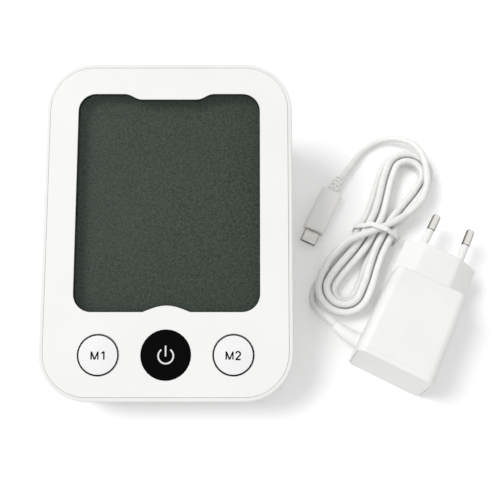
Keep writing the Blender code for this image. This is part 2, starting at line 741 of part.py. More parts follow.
def make_rear_shell():
    """The deep lower shell with its rim, battery bay, posts and ports."""
    rim_inner = face_ring(RIM_WIDTH, 0.0)
    inner = [
        base_ring(WALL, FLOOR_TOP),
        face_ring(RIM_WIDTH + LEDGE_WIDTH, LEDGE_DEPTH),
        face_ring(RIM_WIDTH, LEDGE_DEPTH),
        rim_inner,
    ]
    shell = loft("rear_shell", inner + outer_rings(), "white_plastic")
    bay_box = block("bay_walls",
                    (-BAY_HALF - BAY_WALL, BAY_FRONT - BAY_WALL, FLOOR_TOP - FLOOR / 2),
                    (BAY_HALF + BAY_WALL, BAY_BACK + WALL, BAY_TOP + BAY_WALL), "white_plastic")
    ring = turned("speaker_ring", [
        (SPEAKER_RADIUS + GAP + SPEAKER_RING_WALL, FLOOR_TOP + SPEAKER_RING_HEIGHT),
        (SPEAKER_RADIUS + GAP + SPEAKER_RING_WALL, FLOOR_TOP - FLOOR / 2),
        (SPEAKER_RADIUS + GAP, FLOOR_TOP - FLOOR / 2),
        (SPEAKER_RADIUS + GAP, FLOOR_TOP + SPEAKER_RING_HEIGHT)], "white_plastic")
    ring.location.y = SPEAKER_Y
    shelf_end = wall_x(INLET_Y, FLOOR_TOP, WALL) - GAP
    shelf = block("inlet_shelf",
                  (shelf_end - SHELF_LENGTH, INLET_Y - USB_BOARD_WIDTH / 2, FLOOR_TOP - FLOOR / 2),
                  (shelf_end, INLET_Y + USB_BOARD_WIDTH / 2, FLOOR_TOP + SHELF_HEIGHT), "white_plastic")
    posts, bores = shell_posts()
    saddles = [block(f"saddle_{index}",
                     (x - SADDLE_WALL / 2, PUMP_Y - SADDLE_WIDTH / 2, FLOOR_TOP - FLOOR / 2),
                     (x + SADDLE_WALL / 2, PUMP_Y + SADDLE_WIDTH / 2, FLOOR_TOP + SADDLE_HEIGHT),
                     "white_plastic") for index, x in enumerate(saddle_places())]
    seat = rod("pump_seat", PUMP_RADIUS + GAP, pump_axis_point(PUMP_MOUTH_X - OVERRUN),
               pump_axis_point(PUMP_MOUTH_X + PUMP_HEAD_LENGTH + PUMP_MOTOR_LENGTH + OVERRUN),
               "white_plastic", steps=24)
    for saddle in saddles:
        cut(saddle, seat)
    outer_x = FACE_WIDTH / 2 + OVERRUN
    inner_x = BASE_WIDTH / 2 - WALL - OVERRUN
    socket_hole = rod("socket_hole", SOCKET_BORE + SOCKET_WALL + GAP, (-outer_x, MANIFOLD_Y, AIR_Z),
                      (-inner_x, MANIFOLD_Y, AIR_Z), "white_plastic", steps=ROUND_STEPS)
    port = block("inlet_port",
                 (inner_x, INLET_Y - PORT_WIDTH / 2, INLET_Z - PORT_HEIGHT / 2),
                 (outer_x, INLET_Y + PORT_WIDTH / 2, INLET_Z + PORT_HEIGHT / 2), "white_plastic")
    join(shell, bay_box, ring, shelf, *saddles, *posts)
    cut(shell, *battery_cutters(), *speaker_grille(), *bores, socket_hole, port)
    return shell


def saddle_places():
    """Places along the pump of the two ribs that carry it."""
    motor_middle = PUMP_MOUTH_X + PUMP_HEAD_LENGTH + GAP + PUMP_MOTOR_LENGTH / 2
    return PUMP_MOUTH_X + PUMP_HEAD_LENGTH / 2, motor_middle


def make_battery_cover():
    """The slide-off cover, its underside shaped by the same outside as the shell."""
    front = BAY_FRONT - BAY_COVER_LAP + GAP
    behind = BASE_LENGTH / 2 + OVERRUN
    half = BAY_HALF - GAP
    cover = block("battery_cover", (-half, front, BASE_Z - OVERRUN), (half, behind, BAY_COVER_TOP),
                  "white_plastic")
    tongue = block("cover_tongue",
                   (-half - TONGUE_WIDTH, front - TONGUE_WIDTH, BAY_COVER_TOP - TONGUE_THICKNESS),
                   (half + TONGUE_WIDTH, behind, BAY_COVER_TOP), "white_plastic")
    outside = loft("shell_outside", outer_rings(), "white_plastic")
    join(cover, tongue)
    combine(cover, "INTERSECT", [as_tool(outside)])
    for index in range(GRIP_GROOVES):
        middle = BAY_BACK - (index + 1) * GRIP_PITCH
        cut(cover, block(f"grip_groove_{index}",
                         (-GRIP_LENGTH / 2, middle - GRIP_WIDTH / 2, BASE_Z - OVERRUN),
                         (GRIP_LENGTH / 2, middle + GRIP_WIDTH / 2, BASE_Z + GRIP_DEPTH),
                         "white_plastic"))
    return cover


def smooth_share(share):
    """An even S curve from 0 to 1."""
    share = min(1.0, max(0.0, share))
    return share * share * (3 - 2 * share)


def window_outline():
    """The window's opening: round corners, an arch below and a stepped notch above."""
    low = WINDOW_START
    high = WINDOW_START + WINDOW_LENGTH
    corners = rounded_outline(WINDOW_WIDTH, WINDOW_LENGTH, WINDOW_CORNER, centre=(0.0, WINDOW_MIDDLE))
    per_corner = CORNER_STEPS + 1
    steps = 10
    notch = []
    for side in (1, -1):
        slope = [(side * (NOTCH_HALF + NOTCH_SLOPE * step / 5),
                  high - NOTCH_DEPTH * smooth_share(1 - step / 5)) for step in range(6)]
        notch += reversed(slope) if side == 1 else slope
    arch = []
    for step in range(steps + 1):
        x = -ARCH_HALF + 2 * ARCH_HALF * step / steps
        lift = max(0.0, math.cos(math.pi * x / (2 * ARCH_HALF))) ** ARCH_POWER
        arch.append((x, low + ARCH_HEIGHT * lift))
    sides_and_foot = corners[per_corner:3 * per_corner]
    return corners[:per_corner] + notch + sides_and_foot + arch + corners[3 * per_corner:]


def make_front_cover():
    """The flat cover inlaid in the rim, with window, button holes, lip, frame seats and bosses."""
    inset = RIM_WIDTH + GAP
    edge = rounded_outline(FACE_WIDTH - 2 * inset, FACE_LENGTH - 2 * inset, FACE_CORNER - inset,
                           centre=(0.0, FACE_LENGTH / 2))
    window = window_outline()
    holes = [circle_outline(radius + GAP, (x, BUTTON_ROW)) for x, radius in BUTTON_SPOTS]
    cover = plate("front_cover", [edge, window, *holes], -COVER_THICKNESS, 0.0, "white_plastic", FACE)
    lip_edge = rounded_outline(WINDOW_WIDTH + 2 * LIP_WALL, WINDOW_LENGTH + 2 * LIP_WALL,
                               WINDOW_CORNER + LIP_WALL, centre=(0.0, WINDOW_MIDDLE))
    lip = plate("window_lip", [lip_edge, window], -LIP_DEPTH, -COVER_THICKNESS / 2, "white_plastic", FACE)
    join(cover, lip)
    for x, s in board_peg_spots():
        join(cover, rod("peg_standoff", STANDOFF_RADIUS, (x, s, -BOARD_DEPTH + GAP),
                        (x, s, -COVER_THICKNESS / 2), "white_plastic", FACE))
        join(cover, rod("peg", BOARD_SCREW_RADIUS, (x, s, -BOARD_BACK - PEG_PROUD),
                        (x, s, -BOARD_DEPTH + OVERRUN), "white_plastic", FACE))
    for x, s in board_screw_spots():
        join(cover, rod("standoff", STANDOFF_RADIUS, (x, s, -BOARD_DEPTH + GAP),
                        (x, s, -COVER_THICKNESS / 2), "white_plastic", FACE))
        cut(cover, rod("standoff_hole", BOARD_SCREW_RADIUS + GAP, (x, s, -BOARD_DEPTH - OVERRUN),
                       (x, s, -BOARD_BACK + BOARD_SCREW_LENGTH + GAP), "white_plastic", FACE))
    boss_low = FLOOR_TOP + POST_HEIGHT + GAP
    boss_high = face_height(SHELL_SCREW_Y) - COVER_THICKNESS / 2
    for side in (-1, 1):
        x = side * SHELL_SCREW_X
        join(cover, rod("boss", BOSS_RADIUS, (x, SHELL_SCREW_Y, boss_low),
                        (x, SHELL_SCREW_Y, boss_high), "white_plastic"))
        cut(cover, rod("pilot_hole", SHELL_SCREW_RADIUS + GAP, (x, SHELL_SCREW_Y, boss_low - OVERRUN),
                       (x, SHELL_SCREW_Y, boss_low + PILOT_DEPTH), "white_plastic"))
    return cover


def board_peg_spots():
    """Places of the two pegs that locate the board's lower edge, in the face frame."""
    return [(-BUTTON_PITCH / 2, PEG_PLACE), (BUTTON_PITCH / 2, PEG_PLACE)]


def board_screw_spots():
    """Places of the two board screws in the face frame."""
    return [(-STANDOFF_X, EAR_PLACE), (STANDOFF_X, EAR_PLACE)]


def make_button(name, x, radius, finish):
    """A button cap with a keeping flange under the cover and a stem, on its own axis."""
    skirt = -COVER_THICKNESS - GAP
    stem_end = -BOARD_DEPTH + GAP + DOME_HEIGHT + GAP
    button = turned(name, [
        (0.0, KEY_PROUD),
        (radius - KEY_EDGE, KEY_PROUD),
        (radius, KEY_PROUD - KEY_EDGE),
        (radius, skirt),
        (radius + KEY_FLANGE, skirt),
        (radius + KEY_FLANGE, skirt - FLANGE_THICKNESS),
        (KEY_STEM_RADIUS, skirt - FLANGE_THICKNESS),
        (KEY_STEM_RADIUS, stem_end),
        (0.0, stem_end)], finish, FACE)
    button.location = (x, BUTTON_ROW, 0.0)
    return button


def make_key_dome(name, x):
    """A silicone dome on the board that pushes the button back, open underneath."""
    foot = -BOARD_DEPTH + GAP
    top = foot + DOME_HEIGHT
    dome = turned(name, [
        (0.0, top),
        (DOME_TOP_RADIUS, top),
        (DOME_FOOT_RADIUS, foot + DOME_WALL),
        (DOME_FOOT_RADIUS, foot),
        (DOME_FOOT_RADIUS - DOME_WALL, foot),
        (DOME_TOP_RADIUS - DOME_WALL, top - DOME_WALL),
        (0.0, top - DOME_WALL)], "grey_silicone", FACE, SMALL_STEPS)
    dome.location = (x, BUTTON_ROW, 0.0)
    return dome


def make_buttons():
    """The three buttons and the domes under them."""
    names = ("button_m1", "button_power", "button_m2")
    finishes = ("white_plastic", "black_plastic", "white_plastic")
    domes = ("key_dome_m1", "key_dome_power", "key_dome_m2")
    for name, dome, finish, (x, radius) in zip(names, domes, finishes, BUTTON_SPOTS):
        make_button(name, x, radius, finish)
        make_key_dome(dome, x)


# Display and board

def make_display():
    """The clear window with its raised middle, the panel, the frame for both and the contact strips."""
    lens_width = WINDOW_WIDTH + 2 * LENS_MARGIN
    lens_length = WINDOW_LENGTH + 2 * LENS_MARGIN
    corner = WINDOW_CORNER + LENS_MARGIN
    middle = (0.0, WINDOW_MIDDLE)
    lens_outline = rounded_outline(lens_width, lens_length, corner, 4, middle)
    lens = plate("display_window", [lens_outline], -LENS_DEPTH - LENS_THICKNESS, -LENS_DEPTH,
                 "clear_lens", FACE)
    narrower = 1 - 2 * PAD_INSET / WINDOW_WIDTH
    shorter = 1 - 2 * PAD_INSET / WINDOW_LENGTH
    pad_outline = [(x * narrower, WINDOW_MIDDLE + (s - WINDOW_MIDDLE) * shorter)
                   for x, s in window_outline()]
    join(lens, plate("lens_pad", [pad_outline], -LENS_DEPTH - LENS_THICKNESS / 2, -PAD_SUNK,
                     "clear_lens", FACE))
    plate("display_panel", [lens_outline], -PANEL_BACK, -PANEL_DEPTH, "display_glass", FACE)
    pocket = rounded_outline(lens_width + 2 * GAP, lens_length + 2 * GAP, corner + GAP, 4, middle)
    grow = 2 * (GAP + FRAME_WALL)
    outer = rounded_outline(lens_width + grow, lens_length + grow, corner + grow / 2, 4, middle)
    sight_width = lens_width - 2 * FRAME_LEDGE
    sight_length = lens_length - 2 * FRAME_LEDGE
    sight = rounded_outline(sight_width, sight_length, corner - FRAME_LEDGE, 4, middle)
    frame = plate("display_frame", [outer, sight], -BOARD_DEPTH + GAP, -COVER_THICKNESS - GAP,
                  "black_plastic", FACE)
    cut(frame, plate("frame_pocket", [pocket], -PANEL_BACK - GAP, OVERRUN, "black_plastic", FACE))
    low = WINDOW_MIDDLE - sight_length / 2 + GAP
    block("contact_strip", (-STRIP_LENGTH / 2, low, -BOARD_DEPTH + GAP),
          (STRIP_LENGTH / 2, low + STRIP_WIDTH, -PANEL_BACK - GAP), "black_rubber", FACE)


def make_main_board():
    """The main board with two ears, its chips and its four screws."""
    half = BOARD_WIDTH / 2
    board = block("main_board", (-half, BOARD_START, -BOARD_BACK), (half, BOARD_END, -BOARD_DEPTH),
                  "circuit_board", FACE)
    join(board, block("ears", (-EAR_REACH, EAR_PLACE - EAR_LENGTH / 2, -BOARD_BACK),
                      (EAR_REACH, EAR_PLACE + EAR_LENGTH / 2, -BOARD_DEPTH), "circuit_board", FACE))
    for x_share, s_share in CHIP_SHARES:
        x = x_share * half
        s = BOARD_START + s_share * (BOARD_END - BOARD_START)
        join(board, block("chip", (x - CHIP_SIDE / 2, s - CHIP_SIDE / 2, -BOARD_BACK - CHIP_HEIGHT),
                          (x + CHIP_SIDE / 2, s + CHIP_SIDE / 2, -BOARD_DEPTH - BOARD_THICKNESS / 2),
                          "chip_black", FACE))
    for x, s in board_screw_spots() + board_peg_spots():
        cut(board, rod("board_hole", BOARD_SCREW_RADIUS + GAP, (x, s, -BOARD_BACK - OVERRUN),
                       (x, s, -BOARD_DEPTH + OVERRUN), "circuit_board", FACE))
    head_top = -BOARD_BACK - GAP
    for name, (x, s) in zip(("board_screw_left", "board_screw_right"), board_screw_spots()):
        screw = turned(name, [
            (0.0, -BOARD_BACK + BOARD_SCREW_LENGTH),
            (BOARD_SCREW_RADIUS, -BOARD_BACK + BOARD_SCREW_LENGTH),
            (BOARD_SCREW_RADIUS, head_top),
            (BOARD_SCREW_HEAD, head_top),
            (BOARD_SCREW_HEAD, head_top - BOARD_SCREW_HEAD_HEIGHT),
            (0.0, head_top - BOARD_SCREW_HEAD_HEIGHT)], "steel", FACE, SMALL_STEPS)
        screw.location = (x, s, 0.0)


def make_shell_screws():
    """Two screws from below that hold the front cover to the rear shell."""
    seat = BASE_Z + COUNTERBORE_DEPTH - GAP
    for name, side in (("shell_screw_left", -1), ("shell_screw_right", 1)):
        screw = turned(name, [
            (0.0, seat + SHELL_SCREW_LENGTH),
            (SHELL_SCREW_RADIUS, seat + SHELL_SCREW_LENGTH),
            (SHELL_SCREW_RADIUS, seat),
            (SHELL_SCREW_HEAD, seat),
            (SHELL_SCREW_HEAD, seat - SHELL_SCREW_HEAD_HEIGHT),
            (0.0, seat - SHELL_SCREW_HEAD_HEIGHT)], "steel", None, SMALL_STEPS)
        screw.location = (side * SHELL_SCREW_X, SHELL_SCREW_Y, 0.0)


def make_feet():
    """Three rubber feet, the faces that the monitor rests on: a strip in front, two pads behind."""
    strip = rounded_outline(FRONT_FOOT_LENGTH, 2 * FOOT_RADIUS, FOOT_RADIUS - GAP, 4,
                            (0.0, FRONT_FOOT_Y))
    plate("rubber_foot_front", [strip], 0.0, FOOT_HEIGHT, "black_rubber")
    edge = FOOT_HEIGHT / 3
    for name, side in (("rubber_foot_left", -1), ("rubber_foot_right", 1)):
        foot = turned(name, [(0.0, FOOT_HEIGHT), (FOOT_RADIUS, FOOT_HEIGHT), (FOOT_RADIUS, edge),
                             (FOOT_RADIUS - edge, 0.0), (0.0, 0.0)], "black_rubber", None, 20)
        foot.location = (side * BACK_FOOT_X, BACK_FOOT_Y, 0.0)


# Speaker, pump and air line

def make_speaker():
    """The speaker, cone down over the grille, with its magnet on top."""
    low = FLOOR_TOP + GAP
    speaker = turned("speaker", [
        (0.0, low + SPEAKER_HEIGHT),
        (MAGNET_RADIUS, low + SPEAKER_HEIGHT),
        (MAGNET_RADIUS, low + SPEAKER_HEIGHT / 2),
        (SPEAKER_RADIUS, low + SPEAKER_RIM_HEIGHT),
        (SPEAKER_RADIUS, low),
        (SPEAKER_RADIUS - SPEAKER_RIM_HEIGHT, low),
        (MAGNET_RADIUS, low + SPEAKER_RIM_HEIGHT / 2),
        (0.0, low + SPEAKER_RIM_HEIGHT / 2)], "black_plastic")
    speaker.location.y = SPEAKER_Y


def pump_axis_point(x, lift=0.0):
    """A place on the pump's axis."""
    return (x, PUMP_Y, PUMP_Z + lift)


def make_pump():
    """The pump: motor, crank on its shaft, head with its outlet, and the cradle."""
    head_end = PUMP_MOUTH_X + PUMP_HEAD_LENGTH
    motor_start = head_end + GAP
    motor_end = motor_start + PUMP_MOTOR_LENGTH
    motor = rod("pump_motor", PUMP_RADIUS, pump_axis_point(motor_start), pump_axis_point(motor_end),
                "steel", steps=24)
    shaft_start = PUMP_MOUTH_X + PUMP_HEAD_WALL + 2 * GAP
    shaft_end = motor_start + CRANK_IN_MOTOR
    cut(motor, rod("shaft_hole", CRANK_SHAFT_RADIUS + GAP, pump_axis_point(motor_start - OVERRUN),
                   pump_axis_point(shaft_end + GAP), "steel"))
    head = rod("pump_head", PUMP_RADIUS, pump_axis_point(PUMP_MOUTH_X), pump_axis_point(head_end),
               "black_plastic", steps=24)
    nipple_x = PUMP_MOUTH_X + PUMP_HEAD_LENGTH / 4
    join(head, rod("pump_nipple", NIPPLE_RADIUS, (nipple_x, PUMP_Y - PUMP_RADIUS / 2, PUMP_Z),
                   (nipple_x, PUMP_Y - PUMP_RADIUS - NIPPLE_LENGTH, PUMP_Z), "black_plastic"))
    cut(head, rod("head_chamber", PUMP_RADIUS - PUMP_HEAD_WALL,
                  pump_axis_point(PUMP_MOUTH_X + PUMP_HEAD_WALL), pump_axis_point(head_end + OVERRUN),
                  "black_plastic", steps=24))
    crank = rod("pump_crank", CRANK_SHAFT_RADIUS, (shaft_start, 0.0, 0.0), (shaft_end, 0.0, 0.0), "steel")
    crank.location = (0.0, PUMP_Y, PUMP_Z)
    disc_start = (shaft_start + motor_start) / 2 - CRANK_DISC_LENGTH / 2
    join(crank, rod("crank_disc", CRANK_DISC_RADIUS, (disc_start, PUMP_Y, PUMP_Z + CRANK_THROW),
                    (disc_start + CRANK_DISC_LENGTH, PUMP_Y, PUMP_Z + CRANK_THROW), "steel"))
    return nipple_x


def make_cuff_socket():
    """The round socket in the left wall for the cuff's hose; returns where its inner end stands."""
    mouth = wall_x(MANIFOLD_Y, AIR_Z, 0.0) - GAP
    radius = SOCKET_BORE + SOCKET_WALL
    flange = radius + SOCKET_FLANGE
    flange_x = wall_x(MANIFOLD_Y, AIR_Z - flange, WALL) - GAP
    length = SOCKET_DEPTH + SOCKET_END
    seat = mouth - flange_x
    tip = GAP + NIPPLE_ENTRY
    socket = turned("cuff_socket", [
        (SOCKET_BORE, length),
        (radius, length),
        (radius, length - seat),
        (flange, length - seat),
        (flange, length - seat - SOCKET_FLANGE_LENGTH),
        (radius, length - seat - SOCKET_FLANGE_LENGTH),
        (radius, 0.0),
        (NIPPLE_RADIUS, 0.0),
        (NIPPLE_RADIUS, -tip),
        (NIPPLE_RADIUS / 2, -tip),
        (NIPPLE_RADIUS / 2, SOCKET_END),
        (SOCKET_BORE, SOCKET_END)], "black_plastic")
    socket.rotation_euler = (0.0, math.radians(-90), 0.0)
    socket.location = (-mouth + length, MANIFOLD_Y, AIR_Z)
    return -mouth + length


def make_manifold(left_face):
    """The air manifold that the socket and the valve plug into, and the pressure sensor on it."""
    half = MANIFOLD_SIDE / 2
    x = left_face + half
    top = AIR_Z + half
    manifold = block("air_manifold", (left_face, MANIFOLD_Y - half, FLOOR_TOP + GAP),
                     (x + half, MANIFOLD_Y + half, top), "black_plastic")
    join(manifold, rod("nipple", NIPPLE_RADIUS, (x, MANIFOLD_Y, AIR_Z),
                       (x + half + NIPPLE_LENGTH, MANIFOLD_Y, AIR_Z), "black_plastic"))
    depth = NIPPLE_ENTRY + GAP
    cut(manifold,
        rod("socket_bore", NIPPLE_RADIUS + GAP, (left_face - OVERRUN, MANIFOLD_Y, AIR_Z),
            (left_face + depth, MANIFOLD_Y, AIR_Z), "black_plastic"),
        rod("valve_port", NIPPLE_RADIUS + GAP, (x, MANIFOLD_Y + half + OVERRUN, AIR_Z),
            (x, MANIFOLD_Y + half - depth, AIR_Z), "black_plastic"))
    block("pressure_sensor", (x - SENSOR_SIDE / 2, MANIFOLD_Y - SENSOR_SIDE / 2, top + GAP),
          (x + SENSOR_SIDE / 2, MANIFOLD_Y + SENSOR_SIDE / 2, top + GAP + SENSOR_HEIGHT), "chip_black")
    return x


def make_valve(manifold_x):
    """The release valve: body, sprung plunger and its spring; returns the middle of its top."""
    low = FLOOR_TOP + GAP
    front = MANIFOLD_Y + MANIFOLD_SIDE / 2 + GAP
    end_x = manifold_x - NIPPLE_RADIUS - GAP
    axis_y = front + VALVE_WIDTH / 2
    axis_z = low + VALVE_HEIGHT / 2
    body = block("valve_body", (end_x, front, low),
                 (end_x + VALVE_LENGTH, front + VALVE_WIDTH, low + VALVE_HEIGHT), "steel")
    nipple_z = AIR_Z
    bore_end = end_x + PLUNGER_INSIDE + PLUNGER_TRAVEL + GAP
    cut(body, rod("valve_bore", PLUNGER_RADIUS + GAP, (end_x - OVERRUN, axis_y, axis_z),
                  (bore_end, axis_y, axis_z), "steel"))
    join(body, rod("valve_nipple", NIPPLE_RADIUS, (manifold_x, front + NIPPLE_RADIUS / 2, nipple_z),
                   (manifold_x, front - GAP - NIPPLE_ENTRY, nipple_z), "steel"))
    head_face = end_x - GAP - SPRING_LENGTH - GAP
    plunger = turned("valve_plunger", [
        (0.0, PLUNGER_INSIDE + end_x - head_face),
        (PLUNGER_RADIUS, PLUNGER_INSIDE + end_x - head_face),
        (PLUNGER_RADIUS, 0.0),
        (PLUNGER_HEAD_RADIUS, 0.0),
        (PLUNGER_HEAD_RADIUS, -PLUNGER_HEAD_LENGTH),
        (0.0, -PLUNGER_HEAD_LENGTH)], "steel", None, SMALL_STEPS)
    plunger.location = (head_face, axis_y, axis_z)
    plunger.rotation_euler = (0.0, math.radians(90), 0.0)
    points = []
    count = SPRING_TURNS * SPRING_TURN_POINTS
    rise = SPRING_LENGTH - 2 * SPRING_WIRE
    for index in range(count + 1):
        angle = 2 * math.pi * index / SPRING_TURN_POINTS
        points.append((end_x - GAP - SPRING_WIRE - rise * index / count,
                       axis_y + SPRING_COIL_RADIUS * math.cos(angle),
                       axis_z + SPRING_COIL_RADIUS * math.sin(angle)))
    tube("valve_spring", points, SPRING_WIRE, "steel", resolution=1)
    return Vector((end_x + VALVE_LENGTH / 2, axis_y, low + VALVE_HEIGHT))


def make_hose(pump_nipple_x, manifold_x):
    """The air hose from the manifold to the pump's outlet."""
    start = Vector((manifold_x + MANIFOLD_SIDE / 2 + NIPPLE_LENGTH + GAP, MANIFOLD_Y, AIR_Z))
    end = Vector((pump_nipple_x, PUMP_Y - PUMP_RADIUS - NIPPLE_LENGTH - GAP, PUMP_Z))
    straight = 2 * HOSE_RADIUS
    route = [start, start + Vector((straight, 0, 0)), (start + end) / 2 + Vector((straight, -straight, 0)),
             end - Vector((0, straight, 0)), end]
    tube("hose_pump", smooth_route(route, 2 * HOSE_RADIUS), HOSE_RADIUS, "air_hose")


# Batteries and USB inlet

def make_batteries():
    """Four cells side by side between their two contact boards."""
    first = -CELL_PITCH * (CELL_COUNT - 1) / 2
    start = BAY_FRONT + 2 * GAP + CONTACT_THICKNESS
    length = CELL_LENGTH + CELL_NUB_LENGTH
    for index in range(CELL_COUNT):
        cell = turned(f"battery_cell_{index + 1}", [
            (0.0, length),
            (CELL_NUB_RADIUS, length),
            (CELL_NUB_RADIUS, CELL_LENGTH),
            (CELL_RADIUS, CELL_LENGTH),
            (CELL_RADIUS, 0.0),
            (0.0, 0.0)], "cell_wrap", None, 20)
        flip = index % 2
        cell.rotation_euler = (math.radians(90 if flip else -90), 0.0, 0.0)
        cell.location = (first + index * CELL_PITCH, start + (length if flip else 0.0), CELL_Z)
    low = CELL_Z - CONTACT_HEIGHT / 2
    high = CELL_Z + CONTACT_HEIGHT / 2
    half = BAY_HALF - GAP
    back = BAY_BACK - GAP - CONTACT_THICKNESS
    for name, y in (("battery_contacts_front", BAY_FRONT + GAP), ("battery_contacts_back", back)):
        block(name, (-half, y, low), (half, y + CONTACT_THICKNESS, high), "steel")


def make_usb_inlet():
    """The USB inlet on its small board, behind the port in the right wall."""
    end = wall_x(INLET_Y, FLOOR_TOP, WALL) - GAP
    board_low = FLOOR_TOP + SHELF_HEIGHT + GAP
    block("usb_board", (end - USB_BOARD_LENGTH, INLET_Y - USB_BOARD_WIDTH / 2, board_low),
          (end, INLET_Y + USB_BOARD_WIDTH / 2, USB_BOARD_TOP), "circuit_board")
    inlet = block("usb_inlet", (end - INLET_LENGTH, INLET_Y - INLET_WIDTH / 2, USB_BOARD_TOP + GAP),
                  (end, INLET_Y + INLET_WIDTH / 2, USB_BOARD_TOP + GAP + INLET_HEIGHT), "steel")
    cut(inlet, block("inlet_mouth",
                     (end - INLET_MOUTH_DEPTH, INLET_Y - INLET_MOUTH_WIDTH / 2,
                      INLET_Z - INLET_MOUTH_HEIGHT / 2),
                     (end + OVERRUN, INLET_Y + INLET_MOUTH_WIDTH / 2,
                      INLET_Z + INLET_MOUTH_HEIGHT / 2), "steel"))
    root = end - INLET_MOUTH_DEPTH
    join(inlet, block("inlet_tongue",
                      (root - (INLET_LENGTH - INLET_MOUTH_DEPTH) / 2, INLET_Y - INLET_TONGUE_WIDTH / 2,
                       INLET_Z - INLET_TONGUE_THICKNESS / 2),
                      (root + INLET_TONGUE_LENGTH, INLET_Y + INLET_TONGUE_WIDTH / 2,
                       INLET_Z + INLET_TONGUE_THICKNESS / 2), "steel"))
    return end - USB_BOARD_LENGTH


def board_underside(x, y):
    """A place just under the main board at a world x and y."""
    height = face_height(y) - (BOARD_BACK + GAP) / SLOPE_COS
    return Vector((x, y, height))


def make_lead(name, routes, end_x, end_y):
    """A lead along each route to one small connector under the main board."""
    end = board_underside(end_x, end_y)
    side = LEAD_PLUG_SIDE / 2
    low = end.z - LEAD_PLUG_SIDE
    high = board_underside(end_x, end_y - side).z
    plug = block(name, (end_x - side, end_y - side, low), (end_x + side, end_y + side, high), "wire_red")
    for route in routes:
        last = Vector((end_x, end_y, low + LEAD_RADIUS))
        middle = (route[-1] + last) / 2
        middle.z += (last.z - route[-1].z) / 4
        join(plug, tube(name + "_wire", smooth_route([*route, middle, last], 6 * LEAD_RADIUS),
                        LEAD_RADIUS, "wire_red", resolution=1))


def make_leads(usb_edge, valve_top):
    """Leads from the speaker and valve, the pump, the batteries and the USB board."""
    up = GAP + LEAD_RADIUS
    speaker_top = FLOOR_TOP + GAP + SPEAKER_HEIGHT + up
    motor_end = PUMP_MOUTH_X + PUMP_HEAD_LENGTH + GAP + PUMP_MOTOR_LENGTH + up
    beside_motor = PUMP_Y - PUMP_RADIUS - 3 * LEAD_RADIUS
    make_lead("speaker_and_valve_lead",
              [[Vector((0.0, SPEAKER_Y, speaker_top))], [valve_top + Vector((0.0, 0.0, up))]],
              -MAGNET_RADIUS, SPEAKER_Y + 2 * MAGNET_RADIUS)
    make_lead("pump_lead",
              [[Vector((motor_end, PUMP_Y, PUMP_Z)), Vector((motor_end, beside_motor, PUMP_Z))]],
              BOARD_WIDTH / 2 - LEAD_PLUG_SIDE, beside_motor - LEAD_PLUG_SIDE)
    make_lead("battery_lead", [[Vector((-BAY_HALF / 2, BAY_FRONT, BAY_TOP + BAY_WALL + up))]],
              -BAY_HALF / 2, BAY_FRONT + BAY_HALF)
    make_lead("usb_lead", [[Vector((usb_edge + 2 * LEAD_RADIUS, INLET_Y, USB_BOARD_TOP + up))]],
              BOARD_WIDTH / 2 - LEAD_PLUG_SIDE, INLET_Y + INLET_WIDTH)


# Mains adapter

def adapter_ring(place, inset=0.0, drop_share=0.0):
    """The adapter's rounded outline at a place along it, in the adapter's frame."""
    share = place / ADAPTER_LENGTH
    width = ADAPTER_WIDE_END + (ADAPTER_PIN_END - ADAPTER_WIDE_END) * share - 2 * inset
    height = ADAPTER_HEIGHT - 2 * inset
    outline = rounded_outline(width, height, ADAPTER_CORNER - inset, 4)
    ring = []
    for x, z in outline:
        lower_share = 0.5 - z / ADAPTER_HEIGHT
        ring.append((x, place - END_CAP_SLOPE * drop_share * lower_share, ADAPTER_MIDDLE + z))
    return ring


def make_adapter_housing():
    """The adapter's housing, its end cap and the plug block with its pins' seats."""
    outer = [adapter_ring(0.0), adapter_ring(ADAPTER_LENGTH - END_CAP_INSET),
             adapter_ring(ADAPTER_LENGTH, END_CAP_INSET)]
    shell = loft("adapter_shell", outer, "adapter_white", ADAPTER)
    inner = [adapter_ring(-OVERRUN, ADAPTER_WALL), adapter_ring(ADAPTER_LENGTH - ADAPTER_WALL, ADAPTER_WALL)]
    cut(shell, loft("adapter_room", inner, "adapter_white", ADAPTER))
    cap_rings = [adapter_ring(-GAP),
                 adapter_ring(-GAP - END_CAP_THICKNESS + END_CAP_INSET, 0.0, 0.5),
                 adapter_ring(-GAP - END_CAP_THICKNESS, END_CAP_INSET, 1.0)]
    loft("adapter_end_cap", cap_rings, "adapter_white", ADAPTER)
    half = PLUG_BLOCK_WIDTH / 2
    flat = PLUG_BLOCK_FLAT / 2
    tall = PLUG_BLOCK_HEIGHT / 2
    section = [(half, 0.0), (flat, tall), (-flat, tall), (-half, 0.0), (-flat, -tall), (flat, -tall)]
    start = ADAPTER_LENGTH + GAP
    rings = [[(x, place, ADAPTER_MIDDLE + z) for x, z in section]
             for place in (start, start + PLUG_BLOCK_LENGTH)]
    plug = loft("plug_block", rings, "adapter_white", ADAPTER)
    round_edges(plug, PLUG_BLOCK_HEIGHT / 20, 2)
    for side in (-1, 1):
        join(plug, pin_rod("sleeve", side, SLEEVE_RADIUS, -SLEEVE_INSIDE, SLEEVE_LENGTH))
    for side in (-1, 1):
        cut(plug, pin_rod("pin_bore", side, PIN_CORE_RADIUS + GAP, -PIN_INSIDE - GAP,
                          SLEEVE_LENGTH + OVERRUN))


def pin_point(side, place):
    """A point on a pin's axis, measured from the plug block's face; the pins lean inwards."""
    lean = (PIN_BASE_PITCH - PIN_TIP_PITCH) / 2 / PIN_LENGTH
    x = side * (PIN_BASE_PITCH / 2 - lean * place)
    return (x, ADAPTER_LENGTH + GAP + PLUG_BLOCK_LENGTH + place, ADAPTER_MIDDLE)


def pin_rod(name, side, radius, start, end):
    """A round piece on a pin's axis between two places."""
    return rod(name, radius, pin_point(side, start), pin_point(side, end), "steel", ADAPTER)


